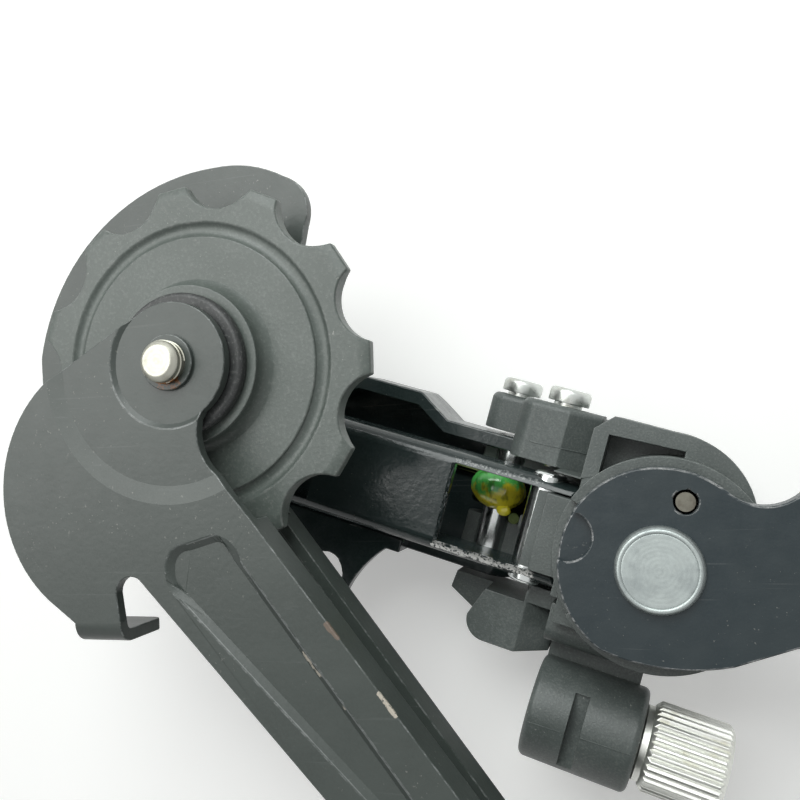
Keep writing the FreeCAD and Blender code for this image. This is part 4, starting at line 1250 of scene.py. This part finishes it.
@dataclass
class LowerKnuckle(SubAssembly):
    """The cast knuckle that carries the cage."""

    edge: EdgeBreak = EdgeBreak(0.25, 2)
    pin_edge: EdgeBreak = EdgeBreak(0.12, 2)
    coil: Pair = (5.1, 8.7)
    cage_pivot: Pair = (-62.0, 3.0)

    def items(self) -> list[Dressed]:
        """The lower knuckle's nodes.

        Returns:
            Each node with its slot, its edges and its winding.
        """
        start, end = (LINK_AXES.place(*self.cage_pivot, depth) for depth in self.coil)
        winding = Winding("lower_knuckle", "cage", start, end)
        return [
            Dressed("lower_knuckle", Slot.CAST, self.edge),
            Dressed("inner_pin_lower", Slot.PIN, self.pin_edge),
            Dressed("outer_pin_lower", Slot.PIN, self.pin_edge),
            Dressed("cage_spring", Slot.SPRING, winding=winding),
        ]


@dataclass
class Cage(SubAssembly):
    """The two stamped plates with what is riveted and bolted to them."""

    edge: EdgeBreak = EdgeBreak(0.15, 2)
    stepped_edge: EdgeBreak = EdgeBreak(0.13, 2, smooth_to=math.radians(9.0), merge_flat=False)
    fine_edge: EdgeBreak = EdgeBreak(0.15, 2)
    guide_foot: Point = (0.0, 0.0, 17.2)
    tension_foot: Point = (48.3, -75.9, 17.2)
    bolt_radius: float = 2.5
    thread_pitch: float = 0.8
    thread_turns: float = 1.6

    def items(self) -> list[Dressed]:
        """The cage's nodes.

        Returns:
            Each node with its slot and its edges.
        """
        plates = [Dressed("cage_inner_plate", Slot.CAGE, self.stepped_edge),
                  Dressed("cage_outer_plate", Slot.CAGE, self.edge)]
        turned = [
            Dressed("cage_axle", Slot.PIN, self.fine_edge),
            Dressed("cage_stop_pin", Slot.PIN, self.fine_edge),
        ]
        for end in ("guide", "tension"):
            turned.append(Dressed(end + "_bush", Slot.BUSH))
            turned.append(Dressed(end + "_caps", Slot.CAP, self.fine_edge))
            turned.append(Dressed(end + "_bolt", Slot.BOLT, self.fine_edge))
        return plates + turned

    def build(self) -> None:
        """Add the threads on the bolts' ends."""
        for name, foot in (("guide", self.guide_foot), ("tension", self.tension_foot)):
            seat = Seat(name + "_thread", CAGE_AXES, "cage", Slot.BOLT)
            self.bench.thread(seat, foot, self.bolt_radius, self.thread_pitch, self.thread_turns)


@dataclass
class Pulleys(SubAssembly):
    """The two toothed pulleys."""

    edge: EdgeBreak = EdgeBreak(0.25, 3)

    def items(self) -> list[Dressed]:
        """The pulleys' nodes."""
        return [Dressed(node, Slot.PULLEY, self.edge) for node in ("guide_pulley", "tension_pulley")]


@dataclass
class Lamp:
    """A soft square lamp that shines at a point."""

    name: str
    place: Point
    target: Point
    size: float
    level: float
    colour: Colour = (1.0, 1.0, 1.0)
    sheen_only: bool = False

    def build(self) -> Piece:
        """Add the lamp.

        Returns:
            The lamp's object.
        """
        light = bpy.data.lights.new(self.name, "AREA")
        light.size = self.size
        light.energy = self.level * math.pi * self.size ** 2
        light.color = self.colour
        lamp = bpy.data.objects.new(self.name, light)
        bpy.context.scene.collection.objects.link(lamp)
        way = Vector(self.target) - Vector(self.place)
        lamp.matrix_world = Matrix.Translation(self.place) @ way.to_track_quat("-Z", "Y").to_matrix().to_4x4()
        lamp.visible_diffuse = not self.sheen_only
        return lamp


@dataclass
class Studio:
    """Camera, lamps and the pale surface that the part lies on."""

    camera_place: Point = (0.0169, 0.1117, -0.0291)
    camera_right: Point = (-0.0447, -0.2939, 0.9548)
    camera_up: Point = (0.9981, 0.0284, 0.0555)
    lens: float = 40.5
    sensor: float = 36.0
    sight: Pair = (0.004, 20.0)
    table_place: Point = (0.0, -0.0325, -0.04)
    table_size: float = 1.2
    table_colour: Colour = (0.90, 0.90, 0.885)
    table_glow: float = 0.3
    world_level: float = 0.3
    mirrored_level: float = 0.8
    lamps: list[Lamp] = field(default_factory=lambda: [
        Lamp("side", (0.17, 0.42, -0.38), (0.01, 0.0, -0.06), 0.44, 3.0, (1.0, 1.0, 0.98), True),
        Lamp("key", (0.36, 0.40, -0.08), (0.0, 0.0, -0.05), 0.40, 5.0, (0.97, 1.0, 0.99)),
        Lamp("back", (0.10, -0.45, 0.15), (0.0, 0.0, -0.05), 0.40, 1.6),
    ])

    def camera(self) -> Piece:
        """Add the camera at the photograph's place.

        Returns:
            The camera's object.
        """
        data = bpy.data.cameras.new("camera")
        data.lens = self.lens
        data.sensor_width = self.sensor
        data.clip_start, data.clip_end = self.sight
        camera = bpy.data.objects.new("camera", data)
        bpy.context.scene.collection.objects.link(camera)
        right = Vector(self.camera_right).normalized()
        back = right.cross(Vector(self.camera_up)).normalized()
        up = back.cross(right)
        turned = Matrix((right, up, back)).transposed().to_4x4()
        camera.matrix_world = Matrix.Translation(self.camera_place) @ turned
        bpy.context.scene.camera = camera
        return camera

    def table_material(self) -> Material:
        """Pale surface that shows from the front only and lets lamps behind it shine through.

        Returns:
            The material.
        """
        sheet = Sheet("table_white")
        sheet.finish(self.table_colour, 0.9)
        sheet.put(sheet.shader.inputs["Emission Color"], (1.0, 1.0, 0.99))
        path = sheet.add("LightPath")
        seen = sheet.number("MAXIMUM", path.outputs["Is Camera Ray"], path.outputs["Is Glossy Ray"])
        seen = sheet.number("MAXIMUM", seen, path.outputs["Is Transmission Ray"])
        sheet.put(sheet.shader.inputs["Emission Strength"], sheet.number("MULTIPLY", seen, self.table_glow))
        clear = sheet.add("BsdfTransparent")
        side = sheet.add("NewGeometry").outputs["Backfacing"]
        open_way = sheet.number("MAXIMUM", side, path.outputs["Is Shadow Ray"])
        shown, gone = sheet.shader.outputs["BSDF"], clear.outputs["BSDF"]
        mix = sheet.add("MixShader", {0: open_way, 1: shown, 2: gone})
        output = next(node for node in sheet.tree.nodes if node.type == "OUTPUT_MATERIAL")
        sheet.put(output.inputs["Surface"], mix.outputs[0])
        return sheet.material

    def table(self) -> Piece:
        """Add the surface behind the part.

        Returns:
            The surface's object.
        """
        bpy.ops.object.select_all(action="DESELECT")
        bpy.ops.mesh.primitive_plane_add(size=self.table_size, location=self.table_place,
                                         rotation=(-math.pi / 2, 0.0, 0.0))
        table = bpy.context.active_object
        table.name = "table"
        settle()
        table.data.materials.append(self.table_material())
        return table

    def world(self) -> None:
        """Even grey surroundings that look white to the camera."""
        world = bpy.data.worlds.new("room")
        bpy.context.scene.world = world
        world.use_nodes = True
        tree = world.node_tree
        plain = tree.nodes["Background"]
        plain.inputs["Color"].default_value = (1.0, 1.0, 1.0, 1.0)
        plain.inputs["Strength"].default_value = self.world_level
        path = tree.nodes.new("ShaderNodeLightPath")
        surroundings = plain.outputs[0]
        for ray, level in (("Is Glossy Ray", self.mirrored_level), ("Is Camera Ray", 1.0)):
            other = tree.nodes.new("ShaderNodeBackground")
            other.inputs["Color"].default_value = (1.0, 1.0, 1.0, 1.0)
            other.inputs["Strength"].default_value = level
            mix = tree.nodes.new("ShaderNodeMixShader")
            tree.links.new(path.outputs[ray], mix.inputs[0])
            tree.links.new(surroundings, mix.inputs[1])
            tree.links.new(other.outputs[0], mix.inputs[2])
            surroundings = mix.outputs[0]
        tree.links.new(surroundings, tree.nodes["World Output"].inputs["Surface"])

    def build(self) -> None:
        """Set up camera, lamps, surface and view."""
        self.camera()
        self.table()
        self.world()
        for lamp in self.lamps:
            lamp.build()
        bpy.context.scene.view_settings.view_transform = "Standard"


def main() -> None:
    """Dress every sub-assembly in order."""
    logging.basicConfig(level=logging.INFO, format="%(name)s %(message)s")
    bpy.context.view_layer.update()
    bpy.ops.object.select_all(action="DESELECT")
    wardrobe = Wardrobe()
    dresser = Dresser(wardrobe)
    bench = Bench(wardrobe)
    for part in (Hanger, UpperKnuckle, Links, LowerKnuckle, Cage, Pulleys):
        assembly = part(dresser, bench)
        assembly.dress()
        assembly.build()
    Studio().build()


if __name__ == "__main__":
    main()
